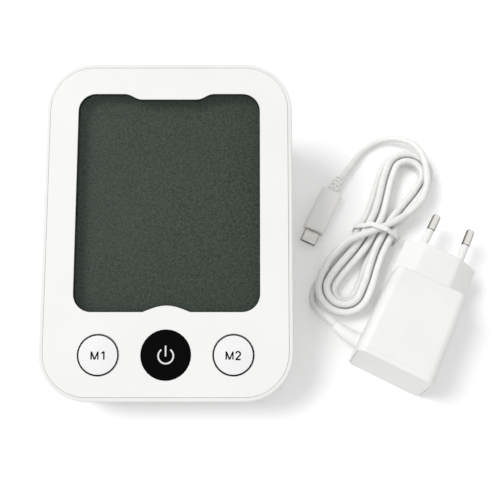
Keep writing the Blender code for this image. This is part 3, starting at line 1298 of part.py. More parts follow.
def make_pins():
    """Two mains pins, each with a slim core in its plastic sleeve and a full bare tip."""
    tip_round = PIN_RADIUS / 2
    profile = [(-PIN_INSIDE, PIN_CORE_RADIUS), (SLEEVE_LENGTH + GAP, PIN_CORE_RADIUS),
               (SLEEVE_LENGTH + GAP, PIN_RADIUS), (PIN_LENGTH - tip_round, PIN_RADIUS),
               (PIN_LENGTH, PIN_RADIUS - tip_round)]
    for name, side in (("plug_pin_left", -1), ("plug_pin_right", 1)):
        rings = []
        for place, radius in profile:
            middle = Vector(pin_point(side, place))
            rings.append([middle + Vector((radius * x, 0.0, radius * z))
                          for x, z in circle_outline(1.0)])
        loft(name, rings, "steel", ADAPTER)


def make_adapter_inside():
    """Board, transformer and capacitors inside the adapter."""
    floor = GAP + ADAPTER_WALL + GAP
    start = ADAPTER_LENGTH - ADAPTER_WALL - GAP - INNER_BOARD_LENGTH
    half = INNER_BOARD_WIDTH / 2
    top = floor + INNER_BOARD_THICKNESS
    board = block("adapter_board", (-half, start, floor), (half, start + INNER_BOARD_LENGTH, top),
                  "circuit_board", ADAPTER)
    block("adapter_transformer",
          (-TRANSFORMER_SIDE / 2, start + GAP, top + GAP),
          (TRANSFORMER_SIDE / 2, start + GAP + TRANSFORMER_LENGTH, top + GAP + TRANSFORMER_SIDE),
          "copper_tape", ADAPTER)
    place = start + INNER_BOARD_LENGTH - CAPACITOR_RADIUS - GAP
    for side in (-1, 1):
        x = side * (CAPACITOR_RADIUS + GAP)
        join(board, rod("capacitor", CAPACITOR_RADIUS, (x, place, floor + INNER_BOARD_THICKNESS / 2),
                        (x, place, top + CAPACITOR_LENGTH), "chip_black", ADAPTER))


def bent_relief(name, place, heading, bend, length, radii, grooves, finish, frame):
    """A tapered strain relief that bends sideways; returns the cord's exit and direction."""
    root_radius, tip_radius = radii
    steps = 2 * grooves if grooves else RELIEF_STEPS
    place = Vector(place)
    rings = []
    for step in range(steps + 1):
        share = step / steps
        direction = Matrix.Rotation(bend * share, 3, "Z") @ Vector(heading)
        aside = direction.cross(Vector((0.0, 0.0, 1.0)))
        radius = root_radius + (tip_radius - root_radius) * share
        if grooves and step % 2:
            radius -= USB_RIB_DEPTH
        rings.append([place + aside * (radius * x) + Vector((0.0, 0.0, radius * z))
                      for x, z in circle_outline(1.0, steps=12)])
        if step < steps:
            place = place + direction * (length / steps)
    loft(name, rings, finish, frame)
    return place + direction * GAP, direction


def make_adapter_relief():
    """The tapered strain relief on the adapter's left side."""
    share = RELIEF_PLACE / ADAPTER_LENGTH
    wall = (ADAPTER_WIDE_END + (ADAPTER_PIN_END - ADAPTER_WIDE_END) * share) / 2
    return bent_relief("adapter_relief", (-wall - GAP, RELIEF_PLACE, RELIEF_HEIGHT), (-1.0, 0.0, 0.0),
                       RELIEF_BEND, RELIEF_LENGTH, (RELIEF_ROOT_RADIUS, RELIEF_TIP_RADIUS), 0,
                       "adapter_white", ADAPTER)


# USB-C plug

def make_usb_plug():
    """The USB-C plug: moulded body, metal shell, slotted insert and ribbed relief."""
    body_outline = rounded_outline(USB_BODY_WIDTH, USB_BODY_HEIGHT, USB_BODY_HEIGHT / 3, 4)
    rings = [[(x, place, USB_Z + z) for x, z in body_outline] for place in (0.0, USB_BODY_LENGTH)]
    round_edges(loft("usb_plug_body", rings, "plug_grey", USB), USB_BODY_HEIGHT / 12, 2)
    shell_corner = USB_SHELL_HEIGHT / 2 - USB_SHELL_WALL / 10
    outer = rounded_outline(USB_SHELL_WIDTH, USB_SHELL_HEIGHT, shell_corner, 4)
    shell = loft("usb_plug_shell", [[(x, place, USB_Z + z) for x, z in outer]
                                    for place in (-GAP - USB_SHELL_LENGTH, -GAP)], "steel", USB)
    hollow = rounded_outline(USB_SHELL_WIDTH - 2 * USB_SHELL_WALL, USB_SHELL_HEIGHT - 2 * USB_SHELL_WALL,
                             shell_corner - USB_SHELL_WALL, 4)
    cut(shell, loft("shell_hollow", [[(x, place, USB_Z + z) for x, z in hollow]
                                     for place in (-OVERRUN - USB_SHELL_LENGTH, OVERRUN)], "steel", USB))
    inside = 2 * (USB_SHELL_WALL + GAP)
    plug_insert = rounded_outline(USB_SHELL_WIDTH - inside, USB_SHELL_HEIGHT - inside,
                                  shell_corner - inside / 2, 4)
    mouth = -GAP - USB_INSERT_LENGTH
    insert = loft("usb_plug_insert", [[(x, place, USB_Z + z) for x, z in plug_insert]
                                      for place in (mouth, -GAP)], "black_plastic", USB)
    cut(insert, block("insert_slot",
                      (-USB_SLOT_WIDTH / 2, mouth - OVERRUN, USB_Z - USB_SLOT_HEIGHT / 2),
                      (USB_SLOT_WIDTH / 2, mouth + USB_SLOT_DEPTH, USB_Z + USB_SLOT_HEIGHT / 2),
                      "black_plastic", USB))
    return bent_relief("usb_plug_relief", (0.0, USB_BODY_LENGTH + GAP, USB_Z), (0.0, 1.0, 0.0),
                       USB_RELIEF_BEND, USB_RELIEF_LENGTH,
                       (USB_RELIEF_ROOT_RADIUS, USB_RELIEF_TIP_RADIUS), USB_RELIEF_RIBS, "plug_grey", USB)


# Cord

def table_height():
    """Height of the cord's middle where it lies on the table."""
    return CORD_RADIUS + TABLE_CLEARANCE


def waist_lift(u):
    """How far the tie under the hank lifts its strands near the waist."""
    lift = TIE_THICKNESS + GAP
    return lift * math.exp(-(u / TIE_LIFT_REACH) ** 2)


def end_sizes(upper):
    """Run length and outer half width of the hank's upper or lower end."""
    if upper:
        return HANK_TOP_RUN, HANK_TOP_HALF
    return HANK_BOTTOM_RUN, HANK_BOTTOM_HALF


def hank_half(u, inward):
    """Half width of a loop at a place along the hank, wound inward by a number of steps."""
    run, end_half = end_sizes(u > 0)
    share = smooth_share((abs(u) / run - HANK_HOLD) / (1 - HANK_HOLD))
    half = HANK_WAIST_HALF + (end_half - HANK_WAIST_HALF) * share
    step = HANK_WAIST_STEP + (CORD_PITCH - HANK_WAIST_STEP) * share
    return half - inward * step


def bowed(v, u, height):
    """Place of a point on the hank's gently bowed middle line: across, along and up."""
    upper = u > 0
    run = end_sizes(upper)[0]
    turn = HANK_BEND * min(abs(u) / run, 1.0)
    radius = run / HANK_BEND
    beyond = max(abs(u) - run, 0.0)
    side = 1 if upper else -1
    middle_v = -radius * (1 - math.cos(turn)) - beyond * math.sin(turn)
    middle_u = side * (radius * math.sin(turn) + beyond * math.cos(turn))
    return Vector((middle_v + v * math.cos(turn), middle_u + side * v * math.sin(turn), height))


def hank_point(index):
    """One point of the hank: loops spiral in on the lower layer and out again on the upper."""
    turn = index / LOOP_POINTS
    reverse = HANK_TURNS / 2
    inward = turn if turn < reverse else HANK_TURNS - turn
    layer = smooth_share(2 * (turn - reverse) + 0.5)
    place = index % LOOP_POINTS
    half_turn = LOOP_POINTS // 2
    upper = place < half_turn
    side = -1 if upper else 1
    run, end_half = end_sizes(upper)
    within = place % half_turn
    if RUN_STEPS <= within <= RUN_STEPS + ARC_STEPS:
        angle = math.pi * (within - RUN_STEPS) / ARC_STEPS
        radius = end_half - inward * CORD_PITCH
        u = -side * (run + radius * math.sin(angle))
        v = side * radius * math.cos(angle)
    elif within < RUN_STEPS:
        u = -side * run * within / RUN_STEPS
        v = side * hank_half(u, inward)
    else:
        u = -side * run * (half_turn - within) / RUN_STEPS
        v = -side * hank_half(u, inward)
    return bowed(v, u, table_height() + layer * CORD_PITCH + waist_lift(u))


def hank_points():
    """All points of the hank, with a straight start below the waist and a straight end."""
    last = round(HANK_END_TURN * LOOP_POINTS)
    points = [hank_point(index) for index in range(-2, last + 1)]
    lead_in = points[0] + (points[0] - points[1]).normalized() * 2 * CORD_RADIUS
    straight = points[-1] + Vector((-math.sin(HANK_BEND), math.cos(HANK_BEND), 0.0)) * 2 * CORD_RADIUS
    return [lead_in] + points + [straight]


def least_gap(points):
    """The least clear gap between turns of a tube that are not neighbours along it."""
    fine = []
    for a, b in zip(points, points[1:]):
        fine += [a.lerp(b, step / 4) for step in range(4)]
    fine.append(points[-1])
    skip = 14
    least = min((fine[i] - fine[j]).length for i in range(len(fine)) for j in range(i + skip, len(fine)))
    return least - 2 * CORD_RADIUS


def frame_point(frame, point):
    """World place of a point given in a frame."""
    bpy.context.view_layer.update()
    return frame.matrix_world @ Vector(point)


def frame_turn(frame, heading):
    """World direction of a direction given in a frame."""
    bpy.context.view_layer.update()
    return (frame.matrix_world.to_3x3() @ Vector(heading)).normalized()


def free_stretch(name, start, start_heading, middle, end, end_heading):
    """A free stretch of cord: straight for a diameter at both ends and smooth between them."""
    out = start + start_heading * 2 * CORD_RADIUS
    back = end + end_heading * 2 * CORD_RADIUS
    route = smooth_route([start, out, *middle, back, end], 5 * CORD_RADIUS)
    clear = 5 * CORD_RADIUS
    kept = [point for point in route if (point - start).length > clear and (point - end).length > clear]
    return tube(name, [start, out, *kept, back, end], CORD_RADIUS, "cord_white")


def make_cord(relief_exit, relief_heading, plug_exit, plug_heading):
    """The cord's two free stretches and its hank, meeting face to face."""
    loops = hank_points()
    print("least gap of the hank to itself, mm:", round(least_gap(loops) * 1000, 2))
    tube("cord_hank", loops, CORD_RADIUS, "cord_white", HANK, 1)
    first_heading = (loops[0] - loops[1]).normalized()
    last_heading = (loops[-1] - loops[-2]).normalized()
    start = frame_point(ADAPTER, relief_exit)
    entry = frame_point(HANK, loops[0] + first_heading * GAP)
    first, *others = [Vector((x, y, table_height())) for x, y in ADAPTER_LEAD]
    first.z = (start.z + table_height()) / 2
    free_stretch("cord_to_adapter", start, frame_turn(ADAPTER, relief_heading), [first, *others],
                 entry, frame_turn(HANK, first_heading))
    top = table_height() + 2 * CORD_PITCH
    leave = frame_point(HANK, loops[-1] + last_heading * GAP)
    up = [frame_point(HANK, point) for point in PLUG_LEAD_UP]
    over = [frame_point(HANK, (x, y, top + waist_lift(y))) for x, y in PLUG_LEAD_OVER_HANK]
    down = [frame_point(HANK, point) for point in PLUG_LEAD_DOWN]
    free_stretch("cord_to_plug", leave, frame_turn(HANK, last_heading), [*up, *over, *down],
                 frame_point(USB, plug_exit), frame_turn(USB, plug_heading))


def grown(outline, distance):
    """A convex outline, anticlockwise, with each side moved out by a distance."""
    points = []
    count = len(outline)
    for index in range(count):
        before, here, after = [Vector(outline[(index + step) % count]) for step in (-1, 0, 1)]
        first = (here - before).normalized()
        second = (after - here).normalized()
        out_first = Vector((first.y, -first.x))
        out_second = Vector((second.y, -second.x))
        miter = (out_first + out_second).normalized()
        points.append(tuple(here + miter * (distance / miter.dot(out_first))))
    return points


def make_tie():
    """The flat tie round the hank's waist, with its short tail."""
    low = TABLE_CLEARANCE + TIE_THICKNESS
    reach = CORD_RADIUS + 2 * GAP
    left = -HANK_WAIST_HALF - reach
    right = HANK_WAIST_HALF - TIE_TUCK_SHARE * HANK_WAIST_STEP + reach
    layer_one = table_height() + waist_lift(0.0) + reach
    layer_two = layer_one + CORD_PITCH
    crest = layer_two + CORD_PITCH
    middle = PLUG_LEAD_OVER_HANK[1][0]
    inner = [(left, low), (right, low), (right, layer_two), (middle + TIE_CREST, crest),
             (middle - TIE_CREST, crest), (left + HANK_WAIST_STEP, layer_two),
             (left, layer_one)]
    tie = plate("hank_tie", [grown(inner, TIE_THICKNESS), inner], -TIE_WIDTH / 2, TIE_WIDTH / 2,
                "cord_white", HANK)
    tie.rotation_euler = (math.radians(90), 0.0, TIE_TURN)
    tail = block("tie_tail", (right + TIE_THICKNESS / 2, -TIE_WIDTH / 2, layer_two - TIE_WIDTH),
                 (right + TIE_THICKNESS + TIE_TAIL, TIE_WIDTH / 2, layer_two - TIE_WIDTH + TIE_THICKNESS),
                 "cord_white", HANK)
    tail.rotation_euler.z = TIE_TURN
    join(tie, tail)


clear_scene()
PARTS = new_collection("blood_pressure_monitor")
CUTTERS = new_collection("cutters")
FACE = new_frame("face_frame", (0.0, FACE_EDGE_Y, FACE_EDGE_Z), (FACE_SLOPE, 0.0, 0.0))
ADAPTER = new_frame("adapter_frame", ADAPTER_PLACE, (0.0, 0.0, ADAPTER_TURN))
USB = new_frame("usb_frame", USB_PLACE, (0.0, 0.0, USB_TURN))
HANK = new_frame("hank_frame", HANK_PLACE, (0.0, 0.0, HANK_TURN))

make_rear_shell()
make_front_cover()
make_battery_cover()
make_display()
make_main_board()
make_buttons()
make_shell_screws()
make_feet()
make_speaker()
PUMP_NIPPLE_X = make_pump()
SOCKET_END_X = make_cuff_socket()
MANIFOLD_X = make_manifold(SOCKET_END_X + GAP)
VALVE_TOP = make_valve(MANIFOLD_X)
make_hose(PUMP_NIPPLE_X, MANIFOLD_X)
make_batteries()
USB_EDGE = make_usb_inlet()
make_leads(USB_EDGE, VALVE_TOP)
make_adapter_housing()
make_pins()
make_adapter_inside()
RELIEF_EXIT, RELIEF_HEADING = make_adapter_relief()
PLUG_EXIT, PLUG_HEADING = make_usb_plug()
make_cord(RELIEF_EXIT, RELIEF_HEADING, PLUG_EXIT, PLUG_HEADING)
make_tie()
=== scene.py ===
"""The dressed talking blood pressure monitor with its mains adapter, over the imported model.

World frame: origin at the bottom centre of the monitor, +X to the user's right, +Y towards the top of
the display, +Z up, in metres. Pieces of the sloping face are made flat, with y up the slope, and are
then laid on it. The adapter, the USB plug and the hank have frames of their own on the table.
"""
import json
import math

import bpy
from mathutils import Matrix, Vector

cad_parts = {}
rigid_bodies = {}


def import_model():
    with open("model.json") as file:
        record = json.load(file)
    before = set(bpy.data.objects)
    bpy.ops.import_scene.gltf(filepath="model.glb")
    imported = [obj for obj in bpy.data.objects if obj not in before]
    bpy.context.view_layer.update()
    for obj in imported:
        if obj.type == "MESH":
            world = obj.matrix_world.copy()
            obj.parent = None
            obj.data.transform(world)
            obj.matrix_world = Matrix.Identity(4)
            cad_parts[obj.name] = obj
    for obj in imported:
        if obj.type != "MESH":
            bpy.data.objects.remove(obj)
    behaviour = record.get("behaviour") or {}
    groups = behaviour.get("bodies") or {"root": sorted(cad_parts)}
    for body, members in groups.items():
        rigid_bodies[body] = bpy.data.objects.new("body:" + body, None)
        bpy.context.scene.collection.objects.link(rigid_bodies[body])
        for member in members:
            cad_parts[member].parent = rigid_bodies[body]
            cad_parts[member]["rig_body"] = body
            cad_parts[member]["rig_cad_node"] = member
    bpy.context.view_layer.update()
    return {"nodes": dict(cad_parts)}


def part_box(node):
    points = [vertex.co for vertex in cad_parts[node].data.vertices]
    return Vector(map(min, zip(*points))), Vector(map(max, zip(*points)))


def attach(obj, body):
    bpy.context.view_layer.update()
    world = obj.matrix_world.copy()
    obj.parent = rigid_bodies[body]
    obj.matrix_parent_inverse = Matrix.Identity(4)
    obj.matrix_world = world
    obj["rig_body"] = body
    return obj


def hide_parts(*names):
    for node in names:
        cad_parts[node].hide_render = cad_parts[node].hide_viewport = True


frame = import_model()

# Clearances and tolerances
GAP = 0.0003
FINE_EDGE = 0.00025
SEAM = 0.0001
COVER_SEAM = 0.00016
MERGE_DISTANCE = 0.000002
FLAT_TURN = math.radians(0.5)

# Camera
CAMERA_PLACE = (0.0367, -0.1127, 0.3075)
CAMERA_TILT = math.radians(21.0)
CAMERA_LENS = 46.8
CAMERA_SENSOR = 36.0

# Light and table
AMBIENT_LIGHT = 0.62
LIGHT_PLACE = (-0.92, 0.22, 1.30)
LIGHT_SPREAD = math.radians(28)
LIGHT_STRENGTH = 1.66
TABLE_SIZE = 4.0
TABLE_COLOUR = (0.9, 0.9, 0.9, 1.0)
TABLE_LIFT = 0.17

# Face
FACE_WIDTH = 0.1116
FACE_LENGTH = 0.152
FACE_CORNER = 0.0215
FACE_SLOPE = math.radians(14.5)
FRONT_HEIGHT = 0.022
RIM_WIDTH = 0.0019
WINDOW_WIDTH = 0.0824
WINDOW_LENGTH = 0.0990
WINDOW_START = 0.0388
WINDOW_CORNER = 0.008
WINDOW_MIDDLE = WINDOW_START + WINDOW_LENGTH / 2
COVER_THICKNESS = 0.0022
TRIM_THICKNESS = 0.0002
TRIM_DROP = 0.0003
LENS_DEPTH = 0.0039
LENS_THICKNESS = 0.0012
LENS_MARGIN = 0.0022
LENS_SUNK = 0.0009
PANEL_DEPTH = 0.0054
PANEL_THICKNESS = 0.0028

# Case
CASE_EDGE = 0.0004
PORT_WIDTH = 0.0126
PORT_HEIGHT = 0.0068
PORT_RIM = 0.0009
MOUTH_WIDTH = 0.0088
MOUTH_HEIGHT = 0.003
MOUTH_ROUND = MOUTH_HEIGHT * 0.46
CELL_GOLD_START = 0.012
CELL_RIM_START = 0.0246

# Buttons
BUTTON_ROW = 0.0202
BUTTON_PITCH = 0.0295
KEY_RADIUS = 0.00895
POWER_RADIUS = 0.0108
KEY_PROUD = 0.0002
KEY_CROWN = 0.00025
KEY_ROUND = 0.0003
KEY_RINGS = 8
KEY_LAST_RING = 0.02
KEY_FLANGE = 0.00145
FLANGE_THICKNESS = 0.0012
KEY_STEM_RADIUS = 0.003
KEY_STEM_END = -0.0074
RING_WIDTH = 0.0006
RING_FLATNESS = 0.3
INK_PROUD = 0.00012
INK_SUNK = 0.00002

# Printed legends, from the middle of their key
LEGEND_HEIGHT = 0.0034
LEGEND_WIDTH = 0.0029
LEGEND_LEFT = {1: -0.0028, 2: -0.0031}
LEGEND_STROKE = 0.00066
LEGEND_DROP = 0.0002
ONE_FLAG = 0.0016
ONE_STEM = 0.0027
FLAG_DROP = 0.0008
TWO_LEFT = 0.0009
TWO_HEEL = 0.0010
TWO_MIDDLE = 0.0020
TWO_RIGHT = 0.0031
TWO_RADIUS = 0.00098
TWO_BOWL = (-80.0, 125.0)
SYMBOL_STROKE = 0.0007
SYMBOL_RADIUS = 0.0033
SYMBOL_OPENING = 36.0
SYMBOL_MIDDLE = (0.0001, -0.00036)
SYMBOL_BAR = [(0.0, -0.00057), (0.0, 0.00405)]

# Mains adapter
ADAPTER_PLACE = Vector((0.1008, -0.0569, 0.0))
ADAPTER_TURN = math.radians(-27.0)
ADAPTER_LENGTH = 0.042
ADAPTER_WIDE_END = 0.0362
ADAPTER_PIN_END = 0.0345
ADAPTER_HEIGHT = 0.0275
ADAPTER_CORNER = 0.0042
ADAPTER_WALL = 0.002
ADAPTER_MIDDLE = 0.01405
END_CAP_THICKNESS = 0.0022
END_CAP_SLOPE = 0.0012
END_CAP_INSET = 0.0011
CAP_EDGE = 0.0003
CAP_RIM = 0.0007
CAP_SUNK = 0.0006
CAP_LINE = 0.00025
PLUG_BLOCK_LENGTH = 0.0183
PLUG_BLOCK_WIDTH = 0.0365
PLUG_BLOCK_HEIGHT = 0.0137
PLUG_BLOCK_FLAT = 0.0173
PLUG_BLOCK_ROUND = PLUG_BLOCK_HEIGHT / 14
PLUG_BLOCK_EDGE = PLUG_BLOCK_HEIGHT / 18
PIN_LENGTH = 0.019
PIN_RADIUS = 0.002
PIN_NOSE = PIN_RADIUS * 0.55
PIN_CORE_RADIUS = 0.0013
SLEEVE_RADIUS = 0.0019
SLEEVE_LENGTH = 0.010
SLEEVE_ROOT = 0.001
PIN_INSIDE = 0.006
PIN_BASE_PITCH = 0.0186
PIN_TIP_PITCH = 0.0175
RELIEF_PLACE = 0.0055
RELIEF_HEIGHT = 0.010
RELIEF_LENGTH = 0.013
RELIEF_ROOT_RADIUS = 0.0036
RELIEF_TIP_RADIUS = 0.0025
RELIEF_BEND = math.radians(-22)
RELIEF_STEPS = 6
RELIEF_EDGE = 0.0003

# USB plug
USB_PLACE = Vector((0.0686, 0.0142, 0.0))
USB_TURN = math.radians(-26.0)
USB_Z = 0.0035
USB_BODY_WIDTH = 0.011
USB_BODY_HEIGHT = 0.0064
USB_BODY_LENGTH = 0.024
USB_BODY_ROUND = USB_BODY_HEIGHT / 3
USB_BODY_EDGE = USB_BODY_HEIGHT / 10
USB_FINE_EDGE = 0.00008
USB_SHELL_WIDTH = 0.00834
USB_SHELL_HEIGHT = 0.00256
USB_SHELL_LENGTH = 0.00665
USB_SHELL_WALL = 0.0003
USB_SHELL_ROUND = USB_SHELL_HEIGHT / 2 - USB_SHELL_WALL / 10
USB_RELIEF_LENGTH = 0.009
USB_RELIEF_ROOT_RADIUS = 0.0029
USB_RELIEF_TIP_RADIUS = 0.0024
USB_RELIEF_BEND = math.radians(-14)
USB_RELIEF_ROWS = 4
SLOTS_ROUND = 6
SLOT_LENGTH = 0.0021
SLOT_WIDTH = 0.0011
SLOT_DEPTH = 0.0011

# Cord and hank
CORD_RADIUS = 0.00175
CORD_PITCH = 0.0042
CORD_STEP = 0.0011
TABLE_CLEARANCE = 0.0002
CORD_HEIGHT = CORD_RADIUS + TABLE_CLEARANCE
HANK_PLACE = Vector((0.1000, 0.0122, 0.0))
HANK_TURN = math.radians(-30.0)
HANK_TURNS = 3.75
HANK_END_TURN = 3.875
HANK_WAIST_HALF = 0.0086
HANK_TOP_HALF = 0.0134
HANK_BOTTOM_HALF = 0.0124
HANK_BEND = math.radians(2.0)
HANK_TOP_RUN = 0.0385
HANK_BOTTOM_RUN = 0.034
HANK_WAIST_STEP = 0.0043
HANK_HOLD = 0.15
LOOP_POINTS = 28
ARC_STEPS = 6
RUN_STEPS = 4
TIE_WIDTH = 0.0024
TIE_THICKNESS = 0.0008
TIE_EDGE = 0.0003
TIE_CREST = 0.0038
TIE_TAIL = 0.002
TIE_TUCK_SHARE = 0.25
TIE_TURN = math.radians(9.0)
TIE_LIFT_REACH = 0.010
FINE_STEPS = 16

# Cord routes: listed points; those near the hank are in its frame
ADAPTER_LEAD = [(0.0688, -0.0280), (0.0672, -0.0215), (0.0690, -0.0145)]
PLUG_LEAD_UP = [(-0.0125, -0.0190, 0.0080), (-0.0098, -0.0120, 0.0106)]
PLUG_LEAD_OVER_HANK = [(-0.0050, -0.0060), (0.0000, 0.0000), (0.0045, 0.0065), (0.0085, 0.0140),
                       (0.0113, 0.0215), (0.0120, 0.0290), (0.0095, 0.0380)]
PLUG_LEAD_DOWN = [(0.0040, 0.0470, 0.0105), (-0.0045, 0.0530, 0.0098), (-0.0125, 0.0545, 0.0066),
                  (-0.0195, 0.0525, 0.0035), (-0.0250, 0.0460, 0.0022), (-0.0278, 0.0370, 0.0022)]

# Frames of the sub-assemblies
FACE_EDGE = Vector((0.0, -FACE_LENGTH * math.cos(FACE_SLOPE) / 2, FRONT_HEIGHT))
WORLD = Matrix.Identity(4)
FACE = Matrix.Translation(FACE_EDGE) @ Matrix.Rotation(FACE_SLOPE, 4, "X")
ADAPTER = Matrix.Translation(ADAPTER_PLACE) @ Matrix.Rotation(ADAPTER_TURN, 4, "Z")
USB = Matrix.Translation(USB_PLACE) @ Matrix.Rotation(USB_TURN, 4, "Z")
HANK = Matrix.Translation(HANK_PLACE) @ Matrix.Rotation(HANK_TURN, 4, "Z")


# Shader maths

SHADER_SOCKETS = {"metallic": "Metallic", "alpha": "Alpha", "gloss": "Specular IOR Level"}
NOISE_LOW = 0.3
NOISE_HIGH = 0.7


class Signal:
    """A socket in a node tree; arithmetic on it adds Math nodes."""

    def __init__(self, wiring, socket):
        self.wiring = wiring
        self.socket = socket

    def maths(self, operation, first, second=None):
        values = {0: first} if second is None else {0: first, 1: second}
        return self.wiring.node("ShaderNodeMath", {"operation": operation}, values)

    def __add__(self, other):
        return self.maths("ADD", self, other)

    def __sub__(self, other):
        return self.maths("SUBTRACT", self, other)

    def __rsub__(self, other):
        return self.maths("SUBTRACT", other, self)

    def __mul__(self, other):
        return self.maths("MULTIPLY", self, other)

    def __gt__(self, other):
        return self.maths("GREATER_THAN", self, other)

    def __lt__(self, other):
        return self.maths("LESS_THAN", self, other)

    __radd__ = __add__
    __rmul__ = __mul__

    def size(self):
        return self.maths("ABSOLUTE", self)

    def wave(self):
        return self.maths("SINE", self)

    def part(self):
        return self.maths("FRACT", self)


class Wiring:
    """A node tree being wired up."""

    def __init__(self, tree):
        self.tree = tree

    def node(self, kind, settings=None, sockets=None, output=0):
        """Adds a node with its settings, and sets or links its sockets."""
        node = self.tree.nodes.new(kind)
        for setting, value in (settings or {}).items():
            setattr(node, setting, value)
        for socket, value in (sockets or {}).items():
            self.feed(node.inputs[socket], value)
        return Signal(self, node.outputs[output])

    def feed(self, socket, value):
        """Links a signal to a socket, or sets the socket's own value."""
        if isinstance(value, Signal):
            self.tree.links.new(value.socket, socket)
        else:
            socket.default_value = value

    def stretch(self, signal, low, high, to_low=0.0, to_high=1.0):
        """Maps a range of a signal to another range, held at its ends."""
        return self.node("ShaderNodeMapRange", {"clamp": True}, {
            "Value": signal, "From Min": low, "From Max": high, "To Min": to_low, "To Max": to_high})

    def seen_by(self, *rays):
        """1 for the named kinds of ray, and 0 for all other light."""
        path = self.tree.nodes.new("ShaderNodeLightPath")
        seen = 0.0
        for ray in rays:
            seen = self.node("ShaderNodeMath", {"operation": "ADD", "use_clamp": True}, {
                0: seen, 1: Signal(self, path.outputs[f"Is {ray} Ray"])})
        return seen


class Finish(Wiring):
    """A material being made: constants go on its shader, patterns come from nodes."""

    def __init__(self, name, roughness=0.4, **constants):
        self.material = bpy.data.materials.new(name)
        self.material.use_nodes = True
        super().__init__(self.material.node_tree)
        self.shader = self.tree.nodes["Principled BSDF"]
        self.shader.inputs["Roughness"].default_value = roughness
        for socket, value in constants.items():
            self.shader.inputs[SHADER_SOCKETS[socket]].default_value = value
        self.place = self.node("ShaderNodeTexCoord", output="Object")

    def turned_place(self, centre=(0.0, 0.0, 0.0), turn=0.0, stretch=(1.0, 1.0, 1.0)):
        """Object coordinates from a centre, turned about the vertical; a stretch draws a pattern out."""
        return self.node("ShaderNodeMapping", {"vector_type": "TEXTURE"}, {
            "Vector": self.place, "Location": centre, "Rotation": (0.0, 0.0, turn), "Scale": stretch})

    def axis(self, place, axis):
        """One coordinate of a place."""
        return self.node("ShaderNodeSeparateXYZ", {}, {0: place}, axis)

    def noise(self, scale, detail=3.0, place=None):
        """Soft noise between 0 and 1."""
        return self.node("ShaderNodeTexNoise", {}, {
            "Vector": place or self.place, "Scale": scale, "Detail": detail, "Roughness": 0.55})

    def scratches(self, along, turn=0.0):
        """Fine lines along one axis, turned about the vertical."""
        stretch = [1.0, 1.0, 1.0]
        stretch[along] = 25.0
        return self.noise(4200.0, 2.0, self.turned_place(turn=turn, stretch=stretch))

    def shade(self, factor, first, second):
        """A colour between two colours."""
        first, second = [colour if isinstance(colour, Signal) else (*colour, 1.0)
                         for colour in (first, second)]
        return self.node("ShaderNodeMix", {"data_type": "RGBA"}, {0: factor, 6: first, 7: second}, 2)

    def tone(self, signal, low, high, dark, light):
        """A colour that goes from dark to light over a range of a signal."""
        return self.shade(self.stretch(signal, low, high), dark, light)

    def dulling(self, noise, smoothest, roughest):
        """A roughness that follows a noise."""
        return self.stretch(noise, NOISE_LOW, NOISE_HIGH, smoothest, roughest)

    def made(self, colour, roughness, height=None, depth=0.0):
        """The material with its patterns; a height from 0 to 1 raises the skin by a depth in metres."""
        self.feed(self.shader.inputs["Base Color"], colour)
        self.feed(self.shader.inputs["Roughness"], roughness)
        if height:
            bump = self.node("ShaderNodeBump", {}, {"Height": height, "Strength": 1.0, "Distance": depth})
            self.feed(self.shader.inputs["Normal"], bump)
        return self.material


def tint(red, green, blue):
    """A colour as it is seen on a screen, from 0 to 255, in the renderer's linear values."""
    def linear(value):
        share = value / 255
        return share / 12.92 if share <= 0.04045 else ((share + 0.055) / 1.055) ** 2.4
    return linear(red), linear(green), linear(blue)


# Materials

def moulded_plastic(name, light, dark, roughness, grain):
    """Moulded plastic: faint uneven tone, fine spark grain and patches of slightly duller skin."""
    finish = Finish(name, roughness, gloss=0.3)
    patches = finish.noise(38.0, 2.0)
    specks = finish.noise(2600.0, 2.0)
    return finish.made(finish.tone(patches * 0.7 + specks * 0.3, 0.35, 0.65, dark, light),
                       finish.dulling(patches, roughness - 0.05, roughness + 0.07), specks, grain)


def key_black_plastic():
    """Polished black plastic with a few fine rub marks."""
    finish = Finish("key_black_plastic", 0.2, gloss=0.02)
    rubs = finish.noise(900.0, 4.0, finish.turned_place(turn=0.6, stretch=(1.0, 12.0, 1.0)))
    return finish.made(finish.shade(finish.noise(60.0), tint(5, 5, 5), tint(10, 10, 10)),
                       finish.stretch(rubs, 0.55, 0.75, 0.16, 0.34), rubs, 0.000004)


def printed_ink(name, light, dark):
    """Printed ink, a little uneven where it was laid on."""
    finish = Finish(name, 0.5, gloss=0.04)
    speck = finish.noise(3200.0, 2.0)
    return finish.made(finish.tone(speck, 0.4, 0.7, dark, light), finish.dulling(speck, 0.38, 0.55),
                       speck, 0.00001)


def window_lens():
    """Smoked clear plastic with an anti-glare skin."""
    finish = Finish("smoked_lens", 0.42, alpha=0.34, gloss=0.2)
    sparkle = finish.noise(1500.0, 2.0)
    return finish.made(finish.tone(sparkle, 0.35, 0.65, tint(58, 67, 58), tint(72, 82, 72)),
                       finish.dulling(sparkle, 0.36, 0.55), sparkle, 0.000006)


def display_glass():
    """The unlit display: dark green-grey with a fine mottle and a barely seen grid of cells."""
    finish = Finish("display_glass", 0.6, gloss=0.2)
    mottle = finish.noise(1150.0, 4.0)
    broad = finish.noise(22.0, 2.0)
    columns, rows = [(finish.axis(finish.place, axis) * 1200.0).part() < 0.12 for axis in (0, 1)]
    grid = finish.stretch(columns + rows, 0.0, 1.0)
    base = finish.tone(mottle * 0.88 + broad * 0.12, 0.38, 0.62, tint(46, 54, 47), tint(85, 94, 84))
    return finish.made(finish.shade(grid * 0.12, base, tint(52, 60, 54)), finish.dulling(mottle, 0.5, 0.68))


